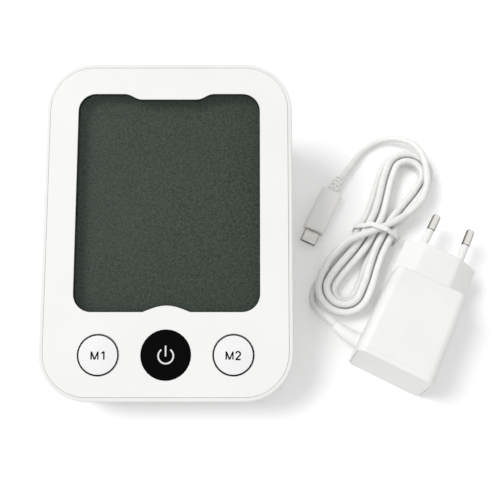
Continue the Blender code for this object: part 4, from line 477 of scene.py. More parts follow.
def soft_rubber(name, light, dark):
    """Matt rubber or silicone with a dusty bloom."""
    finish = Finish(name, 0.7)
    bloom = finish.noise(420.0, 4.0)
    return finish.made(finish.tone(bloom, 0.35, 0.7, dark, light), finish.dulling(bloom, 0.62, 0.82),
                       finish.noise(3000.0, 2.0), 0.00002)


def brushed_metal(name, light, dark, turn=0.0, roughness=0.28, depth=0.000002):
    """Metal with fine scratches along one direction."""
    finish = Finish(name, roughness, metallic=1.0)
    lines = finish.scratches(0, turn)
    return finish.made(finish.tone(lines * 0.6 + finish.noise(160.0) * 0.4, 0.35, 0.65, dark, light),
                       finish.dulling(lines, roughness - 0.08, roughness + 0.12), lines, depth)


def plated_pins():
    """Nickel-plated pins with fine drawn lines; their colour holds painted reflections, light on the top
    and bottom and dark on the flanks.
    """
    finish = Finish("pin_nickel", 0.2, metallic=1.0)
    lines = finish.scratches(1, ADAPTER_TURN)
    # Painted reflections: set by height about the pins' axis, lighter above and below it and darker on the
    # flanks.
    height = finish.axis(finish.place, 2)
    start = 0.55 * PIN_RADIUS
    full = 0.92 * PIN_RADIUS
    top = finish.stretch(height, ADAPTER_MIDDLE + start, ADAPTER_MIDDLE + full)
    foot = finish.stretch(height, ADAPTER_MIDDLE - start, ADAPTER_MIDDLE - full)
    painted_reflections = finish.shade(top + foot, tint(104, 100, 94), tint(236, 234, 229))
    return finish.made(finish.shade(lines * 0.3, painted_reflections, tint(160, 156, 148)),
                       finish.dulling(lines, 0.12, 0.3), lines, 0.0000004)


def circuit_board():
    """Green board: copper tracks under the lacquer, tinned pads and a woven base."""
    finish = Finish("circuit_board", 0.32)
    tracks = finish.node("ShaderNodeTexBrick", {"offset": 0.37}, {
        "Vector": finish.place, "Scale": 210.0, "Mortar Size": 0.09, "Mortar Smooth": 0.2,
        "Brick Width": 1.1, "Row Height": 0.42}, 1)
    pads = finish.node("ShaderNodeTexVoronoi", {}, {"Vector": finish.place, "Scale": 420.0}) < 0.17
    across, along = [(finish.axis(finish.place, axis) * 5200.0).wave() for axis in (0, 1)]
    green = finish.shade(finish.noise(60.0), tint(12, 78, 48), tint(20, 98, 60))
    tracked = finish.shade(tracks * 0.7, green, tint(46, 132, 78))
    return finish.made(finish.shade(pads, tracked, tint(196, 192, 180)),
                       finish.stretch(across * along, -1.0, 1.0, 0.28, 0.4), tracks + pads, 0.00004)


def cell_wrap(name, middle, gold_low):
    """A battery's printed jacket: dark body, one gold end and bare rims, by place along the cell."""
    finish = Finish(name, 0.3, metallic=0.35)
    along = finish.axis(finish.place, 1) - middle
    gold = along < -CELL_GOLD_START if gold_low else along > CELL_GOLD_START
    scuffs = finish.noise(700.0, 4.0, finish.turned_place(stretch=(1.0, 5.0, 1.0)))
    dark = finish.shade(scuffs, tint(34, 36, 40), tint(52, 54, 60))
    bright = finish.shade(scuffs, tint(176, 132, 62), tint(204, 160, 88))
    ends = along.size() > CELL_RIM_START
    return finish.made(finish.shade(ends, finish.shade(gold, dark, bright), tint(190, 190, 188)),
                       finish.stretch(scuffs, 0.35, 0.7, 0.22, 0.42), scuffs, 0.00001)


def wound_copper():
    """Copper-coloured tape wound in turns round the transformer, lacquered."""
    finish = Finish("copper_tape", 0.4, metallic=0.5)
    turns = (finish.axis(finish.turned_place(ADAPTER_PLACE, ADAPTER_TURN), 1) * 2400.0).wave()
    stain = finish.noise(240.0)
    return finish.made(finish.tone(turns * 0.3 + stain, 0.2, 0.9, tint(150, 92, 46), tint(206, 150, 84)),
                       finish.dulling(stain, 0.32, 0.5), turns, 0.00004)


def wire_jackets():
    """The thin leads' red jackets, a little scuffed."""
    finish = Finish("wire_jackets", 0.42)
    scuffs = finish.noise(900.0)
    return finish.made(finish.tone(scuffs, 0.35, 0.7, tint(150, 26, 24), tint(186, 44, 38)),
                       finish.dulling(scuffs, 0.34, 0.5), scuffs, 0.00001)


def cord_vinyl():
    """The cord's off-white vinyl: faint yellowing, handling marks and a fine drawn texture."""
    finish = Finish("cord_vinyl", 0.42)
    marks = finish.noise(260.0, 4.0)
    clean = finish.tone(marks, 0.35, 0.7, tint(233, 233, 230), tint(242, 242, 240))
    yellowing = finish.stretch(finish.noise(45.0), 0.6, 0.75, 0.0, 0.5)
    return finish.made(finish.shade(yellowing, clean, tint(229, 228, 223)),
                       finish.dulling(marks, 0.36, 0.52), finish.noise(2400.0), 0.00002)


def cell_middle():
    """The middle of the battery cells, front to back."""
    low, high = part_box("battery_cell_1")
    return (low[1] + high[1]) / 2


def make_finishes():
    """All finishes, by the slot that they belong to."""
    return {
        "white_plastic": moulded_plastic("case_plastic", tint(244, 244, 242), tint(241, 241, 239),
                                         0.42, 0.00001),
        "key_white": moulded_plastic("key_plastic", tint(244, 244, 244), tint(240, 240, 240),
                                     0.34, 0.000006),
        "key_black": key_black_plastic(),
        "clear_lens": window_lens(),
        "display_glass": display_glass(),
        "inner_black_plastic": moulded_plastic("inner_black_plastic", tint(40, 41, 43),
                                               tint(30, 31, 33), 0.5, 0.00003),
        "grey_silicone": soft_rubber("grey_silicone", tint(150, 152, 154), tint(128, 130, 133)),
        "circuit_board": circuit_board(),
        "steel": brushed_metal("steel", tint(196, 197, 198), tint(160, 161, 163)),
        "pin_nickel": plated_pins(),
        "black_rubber": soft_rubber("black_rubber", tint(46, 46, 47), tint(30, 30, 31)),
        "air_hose": soft_rubber("air_hose", tint(206, 208, 206), tint(184, 187, 186)),
        "wire_red": wire_jackets(),
        "adapter_white": moulded_plastic("adapter_plastic", tint(240, 240, 238),
                                         tint(235, 235, 233), 0.38, 0.000008),
        "cord_white": cord_vinyl(),
        # Painted light: the plug's colour is lifted brighter than the other white plastics, against the
        # monitor's shadow that falls on the plug.
        "plug_grey": moulded_plastic("plug_grey", tint(251, 250, 248), tint(246, 246, 244),
                                     0.48, 0.00002),
        "copper_tape": wound_copper(),
        "cell_wrap": cell_wrap("cell_jacket", cell_middle(), True),
    }


# Modelling by hand

def only(piece):
    """Selects one object and makes it the active one."""
    bpy.ops.object.select_all(action="DESELECT")
    piece.select_set(True)
    bpy.context.view_layer.objects.active = piece


def settle(piece, place=WORLD):
    """Puts an object's place into its mesh, after laying it in a frame."""
    only(piece)
    bpy.ops.object.transform_apply(location=True, rotation=True, scale=True)
    piece.matrix_world = place
    bpy.ops.object.transform_apply(location=True, rotation=True, scale=True)


def new_piece(name):
    """Names the primitive that was just added and settles it."""
    piece = bpy.context.active_object
    piece.name = name
    piece.data.name = name
    settle(piece)
    return piece


def add_block(name, low, high):
    """A block between two corners."""
    low, high = Vector(low), Vector(high)
    bpy.ops.object.select_all(action="DESELECT")
    bpy.ops.mesh.primitive_cube_add(size=1.0, location=(low + high) / 2, scale=high - low)
    return new_piece(name)


def add_bar(name, width, height, start, end, level):
    """A block along y, centred across and at a level."""
    return add_block(name, (-width / 2, start, level - height / 2), (width / 2, end, level + height / 2))


def add_rod(name, start, end, radius, sides=40):
    """A round rod between two places."""
    bpy.ops.object.select_all(action="DESELECT")
    axis = end - start
    bpy.ops.mesh.primitive_cylinder_add(vertices=sides, radius=radius, depth=axis.length,
                                        location=(start + end) / 2,
                                        rotation=axis.to_track_quat("Z", "Y").to_euler())
    return new_piece(name)


def new_curve(name, dimensions, lines, closed=False):
    """A curve of straight segments, with one spline to each line of points."""
    data = bpy.data.curves.new(name, "CURVE")
    data.dimensions = dimensions
    for points in lines:
        spline = data.splines.new("POLY")
        spline.points.add(len(points) - 1)
        spline.use_cyclic_u = closed
        for place, point in zip(spline.points, points):
            place.co = (*Vector(point).to_3d(), 1.0)
    curve = bpy.data.objects.new(name, data)
    bpy.context.scene.collection.objects.link(curve)
    return curve


def thicken(curve, radius, resolution):
    """Makes a curve a round wire with closed ends."""
    curve.data.bevel_depth = radius
    curve.data.bevel_resolution = resolution
    curve.data.use_fill_caps = True


def as_mesh(curve):
    """The mesh that a curve stands for."""
    only(curve)
    bpy.ops.object.convert(target="MESH")
    return bpy.context.active_object


def edit_all(piece):
    """Enters edit mode with everything selected."""
    only(piece)
    bpy.ops.object.mode_set(mode="EDIT")
    bpy.ops.mesh.select_all(action="SELECT")


def pick(piece, faces=None, edges=None):
    """Enters edit mode with only the faces or edges that pass a test selected."""
    only(piece)
    bpy.ops.object.mode_set(mode="EDIT")
    bpy.ops.mesh.select_mode(type="FACE" if faces else "EDGE")
    bpy.ops.mesh.select_all(action="DESELECT")
    bpy.ops.object.mode_set(mode="OBJECT")
    points = [vertex.co for vertex in piece.data.vertices]
    if faces:
        for face in piece.data.polygons:
            face.select = bool(faces(face.center, face.normal))
    else:
        for edge in piece.data.edges:
            edge.select = bool(edges(points[edge.vertices[0]], points[edge.vertices[1]]))
    bpy.ops.object.mode_set(mode="EDIT")


def done():
    """Leaves edit mode."""
    bpy.ops.object.mode_set(mode="OBJECT")


def facing(x=0.0, y=0.0, z=0.0, least=0.9):
    """A test for the faces that look along a direction."""
    direction = Vector((x, y, z))
    return lambda centre, normal: normal.dot(direction) > least


def runs_along(a, b):
    """True for an edge that runs along its piece's y axis."""
    return abs(a.y - b.y) > abs(a.x - b.x) + abs(a.z - b.z)


def bevel(offset, segments):
    """Rounds the selected edges."""
    bpy.ops.mesh.bevel(offset=offset, segments=segments, profile=0.5, affect="EDGES",
                       clamp_overlap=True)


def push(shift, middle=None, scale=None):
    """Extrudes the selected faces by a shift, then scales them about a middle."""
    bpy.ops.mesh.extrude_region_move(TRANSFORM_OT_translate={"value": shift})
    if scale:
        bpy.ops.transform.resize(value=scale, center_override=middle)


def round_edges(piece, edges, offset, segments):
    """Rounds the edges that pass a test."""
    pick(piece, edges=edges)
    bevel(offset, segments)
    done()


def round_rim(piece, faces, offset, segments):
    """Rounds the outline of the faces that pass a test."""
    pick(piece, faces=faces)
    bpy.ops.mesh.region_to_loop()
    bevel(offset, segments)
    done()


def shift_faces(piece, faces, shift):
    """Moves the faces that pass a test."""
    pick(piece, faces=faces)
    bpy.ops.transform.translate(value=shift)
    done()


def open_faces(piece, faces):
    """Takes out the faces that pass a test."""
    pick(piece, faces=faces)
    bpy.ops.mesh.delete(type="ONLY_FACE")
    done()


def split_copy(piece, name):
    """Makes a piece of its own from a copy of the faces selected in edit mode."""
    bpy.ops.mesh.duplicate()
    bpy.ops.mesh.separate(type="SELECTED")
    done()
    part = next(other for other in bpy.context.selected_objects if other != piece)
    part.name = name
    return part


def modify(piece, kind, **settings):
    """Adds a modifier with its settings and applies it."""
    only(piece)
    modifier = piece.modifiers.new(kind.lower(), kind)
    for setting, value in settings.items():
        setattr(modifier, setting, value)
    bpy.ops.object.modifier_apply(modifier=modifier.name)


def soften(piece, width, segments, turn):
    """Rounds every edge that turns by more than an angle in degrees."""
    modify(piece, "BEVEL", width=width, segments=segments, limit_method="ANGLE",
           angle_limit=math.radians(turn))


def hollow(piece, wall):
    """Gives an open skin a wall on its inner side."""
    modify(piece, "SOLIDIFY", thickness=wall, offset=-1.0, use_even_offset=True)


def combine(piece, other, operation):
    """Joins a second piece to the first, or cuts it out, and removes it."""
    modify(piece, "BOOLEAN", operation=operation, object=other, solver="EXACT")
    bpy.data.objects.remove(other)


def merge_doubles():
    """Merges points that lie on each other, in edit mode."""
    bpy.ops.mesh.remove_doubles(threshold=MERGE_DISTANCE)


def tidy_mesh(piece):
    """Merges doubles and turns all faces outward."""
    edit_all(piece)
    merge_doubles()
    bpy.ops.mesh.normals_make_consistent(inside=False)
    done()


def paint(piece, material):
    """Gives a piece its one material."""
    piece.data.materials.clear()
    piece.data.materials.append(material)


def finish_piece(piece, slot, body, nodes=(), place=None, material=None, angle=30.0):
    """Lays a piece in its frame, smooths it, gives it its finish and body, and hides the nodes that it
    stands for.
    """
    if place is not None:
        settle(piece, place)
    if piece.type == "MESH":
        only(piece)
        bpy.ops.object.shade_smooth_by_angle(angle=math.radians(angle))
    paint(piece, material or FINISHES[slot])
    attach(piece, body)
    if nodes:
        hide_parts(*nodes)
    return piece


def merged_copy(node, name):
    """A copy of a CAD node with its loose triangles merged into clean faces."""
    only(frame["nodes"][node])
    bpy.ops.object.duplicate()
    piece = bpy.context.active_object
    piece.parent = None
    piece.name = name
    piece.data = piece.data.copy()
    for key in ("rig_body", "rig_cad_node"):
        if key in piece:
            del piece[key]
    edit_all(piece)
    merge_doubles()
    bpy.ops.mesh.dissolve_limited(angle_limit=FLAT_TURN)
    done()
    return piece


def refine(piece, node, body, edge=FINE_EDGE, place=None, material=None):
    """Rounds the edges of a case node's merged copy, which then stands for the node."""
    soften(piece, edge, segments=2, turn=35)
    finish_piece(piece, "white_plastic", body, [node], place, material)
    modify(piece, "WEIGHTED_NORMAL", keep_sharp=True, weight=100)


# Camera, light and table

def place_in_scene(name, data, place, turn):
    """Adds a camera or a lamp to the scene."""
    added = bpy.data.objects.new(name, data)
    added.location = place
    added.rotation_euler = turn
    bpy.context.scene.collection.objects.link(added)
    return added


def make_camera():
    """The photograph's view: from above the right of the monitor's lower edge."""
    data = bpy.data.cameras.new("camera")
    data.lens = CAMERA_LENS
    data.sensor_width = CAMERA_SENSOR
    bpy.context.scene.camera = place_in_scene("camera", data, CAMERA_PLACE, (CAMERA_TILT, 0.0, 0.0))


def make_window_light():
    """Soft even light from the left, as from a wide window."""
    data = bpy.data.lights.new("window_light", "SUN")
    data.angle = LIGHT_SPREAD
    data.energy = LIGHT_STRENGTH
    place_in_scene("window_light", data, LIGHT_PLACE,
                   (-Vector(LIGHT_PLACE)).to_track_quat("-Z", "Y").to_euler())


def make_world():
    """Even ambient light; the camera, gloss and glass see plain white."""
    world = bpy.data.worlds.new("studio")
    world.use_nodes = True
    bpy.context.scene.world = world
    wiring = Wiring(world.node_tree)
    level = wiring.stretch(wiring.seen_by("Camera", "Glossy", "Transmission"), 0.0, 1.0, AMBIENT_LIGHT, 1.0)
    background = world.node_tree.nodes["Background"]
    background.inputs["Color"].default_value = (1.0, 1.0, 1.0, 1.0)
    wiring.feed(background.inputs["Strength"], level)


def make_table():
    """A white table that keeps the shadow and is lifted to plain white for the camera."""
    bpy.ops.object.select_all(action="DESELECT")
    bpy.ops.mesh.primitive_plane_add(size=TABLE_SIZE, location=(0.0, 0.0, 0.0))
    table = new_piece("table")
    material = bpy.data.materials.new("table_white")
    material.use_nodes = True
    tree = material.node_tree
    tree.nodes.remove(tree.nodes["Principled BSDF"])
    wiring = Wiring(tree)
    matt = wiring.node("ShaderNodeBsdfDiffuse", {}, {"Color": TABLE_COLOUR})
    glow = wiring.node("ShaderNodeEmission", {}, {
        "Strength": wiring.seen_by("Camera", "Glossy") * TABLE_LIFT})
    both = wiring.node("ShaderNodeAddShader", {}, {0: matt, 1: glow})
    wiring.feed(tree.nodes["Material Output"].inputs["Surface"], both)
    paint(table, material)


# Cord

def route_length(points):
    """Length of a route through its points."""
    return sum((b - a).length for a, b in zip(points, points[1:]))


def smooth_share(share):
    """An even S curve from 0 to 1."""
    share = min(1.0, max(0.0, share))
    return share * share * (3 - 2 * share)


def smooth_route(controls, spacing):
    """Points at even steps along a smooth curve through the control points."""
    controls = [Vector(point) for point in controls]
    padded = [2 * controls[0] - controls[1]] + controls + [2 * controls[-1] - controls[-2]]
    fine = []
    for before, start, end, after in zip(padded, padded[1:], padded[2:], padded[3:]):
        for step in range(FINE_STEPS):
            share = step / FINE_STEPS
            fine.append(0.5 * (2 * start + (end - before) * share
                               + (2 * before - 5 * start + 4 * end - after) * share ** 2
                               + (3 * start - before - 3 * end + after) * share ** 3))
    fine.append(controls[-1])
    length = route_length(fine)
    count = max(2, round(length / spacing))
    points = [fine[0]]
    walked = 0.0
    for a, b in zip(fine, fine[1:]):
        walked += (b - a).length
        if walked >= length * len(points) / count and len(points) < count:
            points.append(b)
    points.append(fine[-1])
    return points


def waist_lift(along):
    """How far the tie under the hank lifts its strands near the waist."""
    return (TIE_THICKNESS + GAP) * math.exp(-(along / TIE_LIFT_REACH) ** 2)


def end_sizes(upper):
    """Run length and outer half width of the hank's upper or lower end."""
    if upper:
        return HANK_TOP_RUN, HANK_TOP_HALF
    return HANK_BOTTOM_RUN, HANK_BOTTOM_HALF


def hank_half(along, inward):
    """Half width of a loop at a place along the hank, wound inward by a number of steps."""
    run, end_half = end_sizes(along > 0)
    share = smooth_share((abs(along) / run - HANK_HOLD) / (1 - HANK_HOLD))
    half = HANK_WAIST_HALF + (end_half - HANK_WAIST_HALF) * share
    return half - inward * (HANK_WAIST_STEP + (CORD_PITCH - HANK_WAIST_STEP) * share)


def bowed(across, along, height):
    """Place of a point on the hank's gently bowed middle line."""
    upper = along > 0
    run = end_sizes(upper)[0]
    turn = HANK_BEND * min(abs(along) / run, 1.0)
    radius = run / HANK_BEND
    beyond = max(abs(along) - run, 0.0)
    side = 1 if upper else -1
    middle_across = -radius * (1 - math.cos(turn)) - beyond * math.sin(turn)
    middle_along = side * (radius * math.sin(turn) + beyond * math.cos(turn))
    return Vector((middle_across + across * math.cos(turn),
                   middle_along + side * across * math.sin(turn), height))


def hank_point(index):
    """One point of the hank: loops spiral in on the lower layer and out again on the upper."""
    turn = index / LOOP_POINTS
    reverse = HANK_TURNS / 2
    inward = turn if turn < reverse else HANK_TURNS - turn
    layer = smooth_share(2 * (turn - reverse) + 0.5)
    place = index % LOOP_POINTS
    half_turn = LOOP_POINTS // 2
    upper = place < half_turn
    side = -1 if upper else 1
    run, end_half = end_sizes(upper)
    within = place % half_turn
    if RUN_STEPS <= within <= RUN_STEPS + ARC_STEPS:
        angle = math.pi * (within - RUN_STEPS) / ARC_STEPS
        radius = end_half - inward * CORD_PITCH
        along = -side * (run + radius * math.sin(angle))
        across = side * radius * math.cos(angle)
    elif within < RUN_STEPS:
        along = -side * run * within / RUN_STEPS
        across = side * hank_half(along, inward)
    else:
        along = -side * run * (half_turn - within) / RUN_STEPS
        across = -side * hank_half(along, inward)
    return bowed(across, along, CORD_HEIGHT + layer * CORD_PITCH + waist_lift(along))


def hank_points():
    """All points of the hank, with a straight start below the waist and a straight end."""
    last = round(HANK_END_TURN * LOOP_POINTS)
    points = [hank_point(index) for index in range(-2, last + 1)]
    lead_in = points[0] + (points[0] - points[1]).normalized() * 2 * CORD_RADIUS
    straight = points[-1] + Vector((-math.sin(HANK_BEND), math.cos(HANK_BEND), 0.0)) * 2 * CORD_RADIUS
    return [lead_in] + points + [straight]


def relief_course(place, heading, bend, length, steps):
    """The middle line of a bent relief: places and directions, root to tip."""
    place = Vector(place)
    course = []
    for step in range(steps + 1):
        direction = Matrix.Rotation(bend * step / steps, 3, "Z") @ Vector(heading)
        course.append((place.copy(), direction))
        if step < steps:
            place = place + direction * (length / steps)
    return course


def adapter_relief_course():
    """The adapter relief's middle line in the adapter's frame, from the housing's tapered side."""
    taper = ADAPTER_PIN_END - ADAPTER_WIDE_END
    half = (ADAPTER_WIDE_END + taper * RELIEF_PLACE / ADAPTER_LENGTH) / 2
    root = (-half - GAP, RELIEF_PLACE, RELIEF_HEIGHT)
    return relief_course(root, (-1.0, 0.0, 0.0), RELIEF_BEND, RELIEF_LENGTH, RELIEF_STEPS)


def usb_relief_course():
    """The USB relief's middle line in the USB plug's frame, two steps to a row of slots."""
    root = (0.0, USB_BODY_LENGTH + GAP, USB_Z)
    return relief_course(root, (0.0, 1.0, 0.0), USB_RELIEF_BEND, USB_RELIEF_LENGTH,
                         2 * USB_RELIEF_ROWS)


def cord_end(course, place):
    """World place and direction of the cord where it leaves a relief."""
    tip, heading = course[-1]
    return place @ (tip + heading * GAP), (place.to_3x3() @ heading).normalized()


def stretch_points(start, start_heading, middle, end, end_heading):
    """A free stretch: straight for a diameter at both ends and smooth between them."""
    out = start + start_heading * 2 * CORD_RADIUS
    back = end + end_heading * 2 * CORD_RADIUS
    clear = 5 * CORD_RADIUS
    route = smooth_route([start, out, *middle, back, end], clear)
    kept = [point for point in route if (point - start).length > clear and (point - end).length > clear]
    return [start, out, *kept, back, end]


def cord_points():
    """The whole cord from the adapter's relief through the hank to the USB plug."""
    loops = hank_points()
    first_heading = (HANK.to_3x3() @ (loops[0] - loops[1])).normalized()
    last_heading = (HANK.to_3x3() @ (loops[-1] - loops[-2])).normalized()
    start, start_heading = cord_end(adapter_relief_course(), ADAPTER)
    first, *others = [Vector((x, y, CORD_HEIGHT)) for x, y in ADAPTER_LEAD]
    first.z = (start.z + CORD_HEIGHT) / 2
    lead = stretch_points(start, start_heading, [first, *others], HANK @ loops[0], first_heading)
    top = CORD_HEIGHT + 2 * CORD_PITCH
    up = [HANK @ Vector(point) for point in PLUG_LEAD_UP]
    over = [HANK @ Vector((x, y, top + waist_lift(y))) for x, y in PLUG_LEAD_OVER_HANK]
    down = [HANK @ Vector(point) for point in PLUG_LEAD_DOWN]
    end, end_heading = cord_end(usb_relief_course(), USB)
    tail = stretch_points(HANK @ loops[-1], last_heading, [*up, *over, *down], end, end_heading)
    return lead[:-1] + [HANK @ point for point in loops] + tail[1:]


def make_cord(plug_pieces):
    """The cord as one curve, from the adapter's relief to the USB plug's."""
    points = smooth_route(cord_points(), CORD_STEP)
    cord = new_curve("cord", "3D", [points])
    cord.data.splines[0].use_smooth = True
    thicken(cord, CORD_RADIUS, resolution=4)
    finish_piece(cord, "cord_white", "adapter", ["cord_to_adapter", "cord_hank", "cord_to_plug"])
    route_length(points)


def grown(outline, distance):
    """A convex outline, anticlockwise, with each side moved out by a distance."""
    points = []
    count = len(outline)
    for index in range(count):
        before, here, after = [Vector(outline[(index + step) % count]) for step in (-1, 0, 1)]
        first = (here - before).normalized()
        second = (after - here).normalized()
        out_first = Vector((first.y, -first.x))
        out_second = Vector((second.y, -second.x))
        miter = (out_first + out_second).normalized()
        points.append(here + miter * (distance / miter.dot(out_first)))
    return points


def make_tie():
    """The flat tie round the hank's waist: a band with soft corners and a short turned-out tail."""
    low = TABLE_CLEARANCE + TIE_THICKNESS
    reach = CORD_RADIUS + 2 * GAP
    left = -HANK_WAIST_HALF - reach
    right = HANK_WAIST_HALF - TIE_TUCK_SHARE * HANK_WAIST_STEP + reach
    layer_one = CORD_HEIGHT + waist_lift(0.0) + reach
    layer_two = layer_one + CORD_PITCH
    crest = layer_two + CORD_PITCH
    middle = PLUG_LEAD_OVER_HANK[1][0]
    inner = [(left, low), (right, low), (right, layer_two), (middle + TIE_CREST, crest),
             (middle - TIE_CREST, crest), (left + HANK_WAIST_STEP, layer_two), (left, layer_one)]
    outline = new_curve("hank_tie_band", "2D", [grown(inner, TIE_THICKNESS), inner], closed=True)
    outline.data.fill_mode = "BOTH"
    outline.data.extrude = TIE_WIDTH / 2
    band = as_mesh(outline)
    band.rotation_euler = (math.radians(90), 0.0, 0.0)
    settle(band)
    tidy_mesh(band)
    tail_foot = layer_two - TIE_WIDTH
    tail = add_block("hank_tie_tail", (right + TIE_THICKNESS / 2, -TIE_WIDTH / 2, tail_foot),
                     (right + TIE_THICKNESS + TIE_TAIL, TIE_WIDTH / 2, tail_foot + TIE_THICKNESS))
    combine(band, tail, "UNION")
    soften(band, TIE_EDGE, segments=3, turn=25)
    return finish_piece(band, "cord_white", "adapter", ["hank_tie"],
                        HANK @ Matrix.Rotation(TIE_TURN, 4, "Z"), TIE_PLASTIC, angle=50.0)


# Face

def rim_distance(place):
    """How far inside the face's rounded outline a place in the face's frame lies."""
    across = abs(place.x) - FACE_WIDTH / 2 + FACE_CORNER
    along = abs(place.y - FACE_LENGTH / 2) - FACE_LENGTH / 2 + FACE_CORNER
    if across > 0 and along > 0:
        return FACE_CORNER - math.hypot(across, along)
    return FACE_CORNER - max(across, along)


def in_window(place, normal):
    """True for a wall of the window's opening, in the face's frame."""
    return (abs(normal.z) < 0.5 and abs(place.x) < WINDOW_WIDTH / 2 + GAP
            and abs(place.y - WINDOW_MIDDLE) < WINDOW_LENGTH / 2 + GAP)


def flat_sides(centre, normal):
    """True for the upper and lower faces of a flat piece."""
    return abs(normal.z) > 0.9


def make_cover():
    """The front cover, fitted closely in the rim; gives back a copy of its window's wall."""
    cover = merged_copy("front_cover", "cover_plate")
    settle(cover, FACE.inverted())
    inset = RIM_WIDTH + GAP
    pick(cover, faces=lambda centre, normal: abs(normal.z) < 0.5 and rim_distance(centre) < inset + GAP)
    grow = 2 * (GAP - COVER_SEAM)
    bpy.ops.transform.resize(
        value=(1 + grow / (FACE_WIDTH - 2 * inset), 1 + grow / (FACE_LENGTH - 2 * inset), 1.0),
        center_override=(0.0, FACE_LENGTH / 2, 0.0))
    done()
    pick(cover, faces=in_window)
    wall = split_copy(cover, "window_trim_and_shade")
    refine(cover, "front_cover", "monitor", place=FACE)
    return wall


def make_window_trim_and_shade(wall):
    """The dark trim that lines the window's opening: black like the display's inner frame, and dark also as
    painted shade in the recess.
    """
    modify(wall, "SOLIDIFY", thickness=TRIM_THICKNESS, offset=1.0, use_even_offset=True)
    shift_faces(wall, facing(z=1), (0.0, 0.0, -TRIM_DROP))
    # Painted shade: the black liner also stands in for the shade inside the window's recess.
    finish_piece(wall, "inner_black_plastic", "monitor", (), FACE)


def make_lens_pad(wall):
    """The raised middle of the lens, which fills the window's outline to just below the face."""
    only(wall)
    bpy.ops.object.duplicate()
    pad = bpy.context.active_object
    inset = 2 * (TRIM_THICKNESS + SEAM)
    edit_all(pad)
    bpy.ops.transform.resize(value=(1 - inset / WINDOW_WIDTH, 1 - inset / WINDOW_LENGTH, 1.0),
                             center_override=(0.0, WINDOW_MIDDLE, 0.0))
    bpy.ops.mesh.fill_holes(sides=0)
    done()
    tidy_mesh(pad)
    shift_faces(pad, facing(z=1), (0.0, 0.0, -LENS_SUNK))
    shift_faces(pad, facing(z=-1), (0.0, 0.0, -LENS_THICKNESS))
    return pad


def add_window_plate(name, depth, thickness):
    """A flat plate with round corners and soft rims, behind the window at a depth."""
    half = WINDOW_WIDTH / 2 + LENS_MARGIN
    reach = WINDOW_LENGTH / 2 + LENS_MARGIN
    plate = add_block(name, (-half, WINDOW_MIDDLE - reach, -depth - thickness),
                      (half, WINDOW_MIDDLE + reach, -depth))
    round_edges(plate, lambda a, b: abs(a.z - b.z) > thickness / 2, WINDOW_CORNER + LENS_MARGIN,
                segments=10)
    round_rim(plate, flat_sides, FINE_EDGE, segments=2)
    return plate


def make_display(pad):
    """The clear window with its raised middle and the unlit display panel behind it."""
    lens = add_window_plate("window_lens", LENS_DEPTH, LENS_THICKNESS)
    combine(lens, pad, "UNION")
    finish_piece(lens, "clear_lens", "monitor", ["display_window"], FACE)
    panel = add_window_plate("display_cell", PANEL_DEPTH, PANEL_THICKNESS)
    finish_piece(panel, "display_glass", "monitor", ["display_panel"], FACE)


def make_key(name, node, body, slot, x, radius):
    """A key cap: crowned top, soft edge, keeping flange below the cover and a stem."""
    skirt = -COVER_THICKNESS - GAP
    radius += GAP - 2 * SEAM
    middle = (x, BUTTON_ROW, 0.0)
    key = add_rod(name, Vector((x, BUTTON_ROW, skirt)), Vector((x, BUTTON_ROW, KEY_PROUD)), radius,
                  sides=96)
    round_rim(key, facing(z=1), KEY_ROUND, segments=4)
    pick(key, faces=facing(z=1, least=0.99))
    for ring in range(KEY_RINGS):
        before = 1 - ring / KEY_RINGS
        after = 1 - (ring + 1) / KEY_RINGS if ring < KEY_RINGS - 1 else KEY_LAST_RING
        rise = KEY_CROWN * (before ** 2 - after ** 2)
        push((0.0, 0.0, rise), middle, (after / before, after / before, 1.0))
    done()
    pick(key, faces=facing(z=-1))
    outward = (radius + KEY_FLANGE) / radius
    push((0.0, 0.0, 0.0), middle, (outward, outward, 1.0))
    push((0.0, 0.0, -FLANGE_THICKNESS))
    inward = KEY_STEM_RADIUS / (radius + KEY_FLANGE)
    push((0.0, 0.0, 0.0), middle, (inward, inward, 1.0))
    push((0.0, 0.0, KEY_STEM_END - skirt + FLANGE_THICKNESS))
    done()
    tidy_mesh(key)
    return finish_piece(key, slot, body, [node], FACE)


def make_key_ring(name, body, x):
    """The thin black line set round a white key."""
    bpy.ops.object.select_all(action="DESELECT")
    bpy.ops.mesh.primitive_torus_add(
        major_radius=KEY_RADIUS - RING_WIDTH / 2 + SEAM / 2, minor_radius=RING_WIDTH / 2,
        major_segments=96, minor_segments=12, location=(x, BUTTON_ROW, 0.0))
    ring = new_piece(name)
    edit_all(ring)
    bpy.ops.transform.resize(value=(1.0, 1.0, RING_FLATNESS), center_override=(x, BUTTON_ROW, 0.0))
    bpy.ops.transform.translate(value=(0.0, 0.0, KEY_PROUD))
    done()
    finish_piece(ring, "key_black", body, (), FACE, INK_BLACK)


def make_strokes(name, body, slot, ink, x, width, strokes):
    """Printed strokes on a key, one line to each row of points, as flattened round lines."""
    lines = new_curve(name, "3D", strokes)
    thicken(lines, width / 2, resolution=3)
    lines.location = (x, BUTTON_ROW, KEY_PROUD + KEY_CROWN - INK_SUNK)
    lines.scale = (1.0, 1.0, INK_PROUD / width)
    finish_piece(as_mesh(lines), slot, body, (), FACE, ink)


def arc(middle, radius, start, end, steps):
    """Points on an arc, its angles in degrees measured clockwise from the top."""
    turns = [math.radians(start + (end - start) * step / steps) for step in range(steps + 1)]
    return [(middle[0] + radius * math.sin(turn), middle[1] + radius * math.cos(turn)) for turn in turns]


def make_power_symbol():
    """The power symbol: an open ring and a bar."""
    ring = arc(SYMBOL_MIDDLE, SYMBOL_RADIUS, SYMBOL_OPENING, 360.0 - SYMBOL_OPENING, steps=48)
    make_strokes("power_symbol", "power_key", "key_white", INK_WHITE, 0.0, SYMBOL_STROKE,
                 [ring, SYMBOL_BAR])


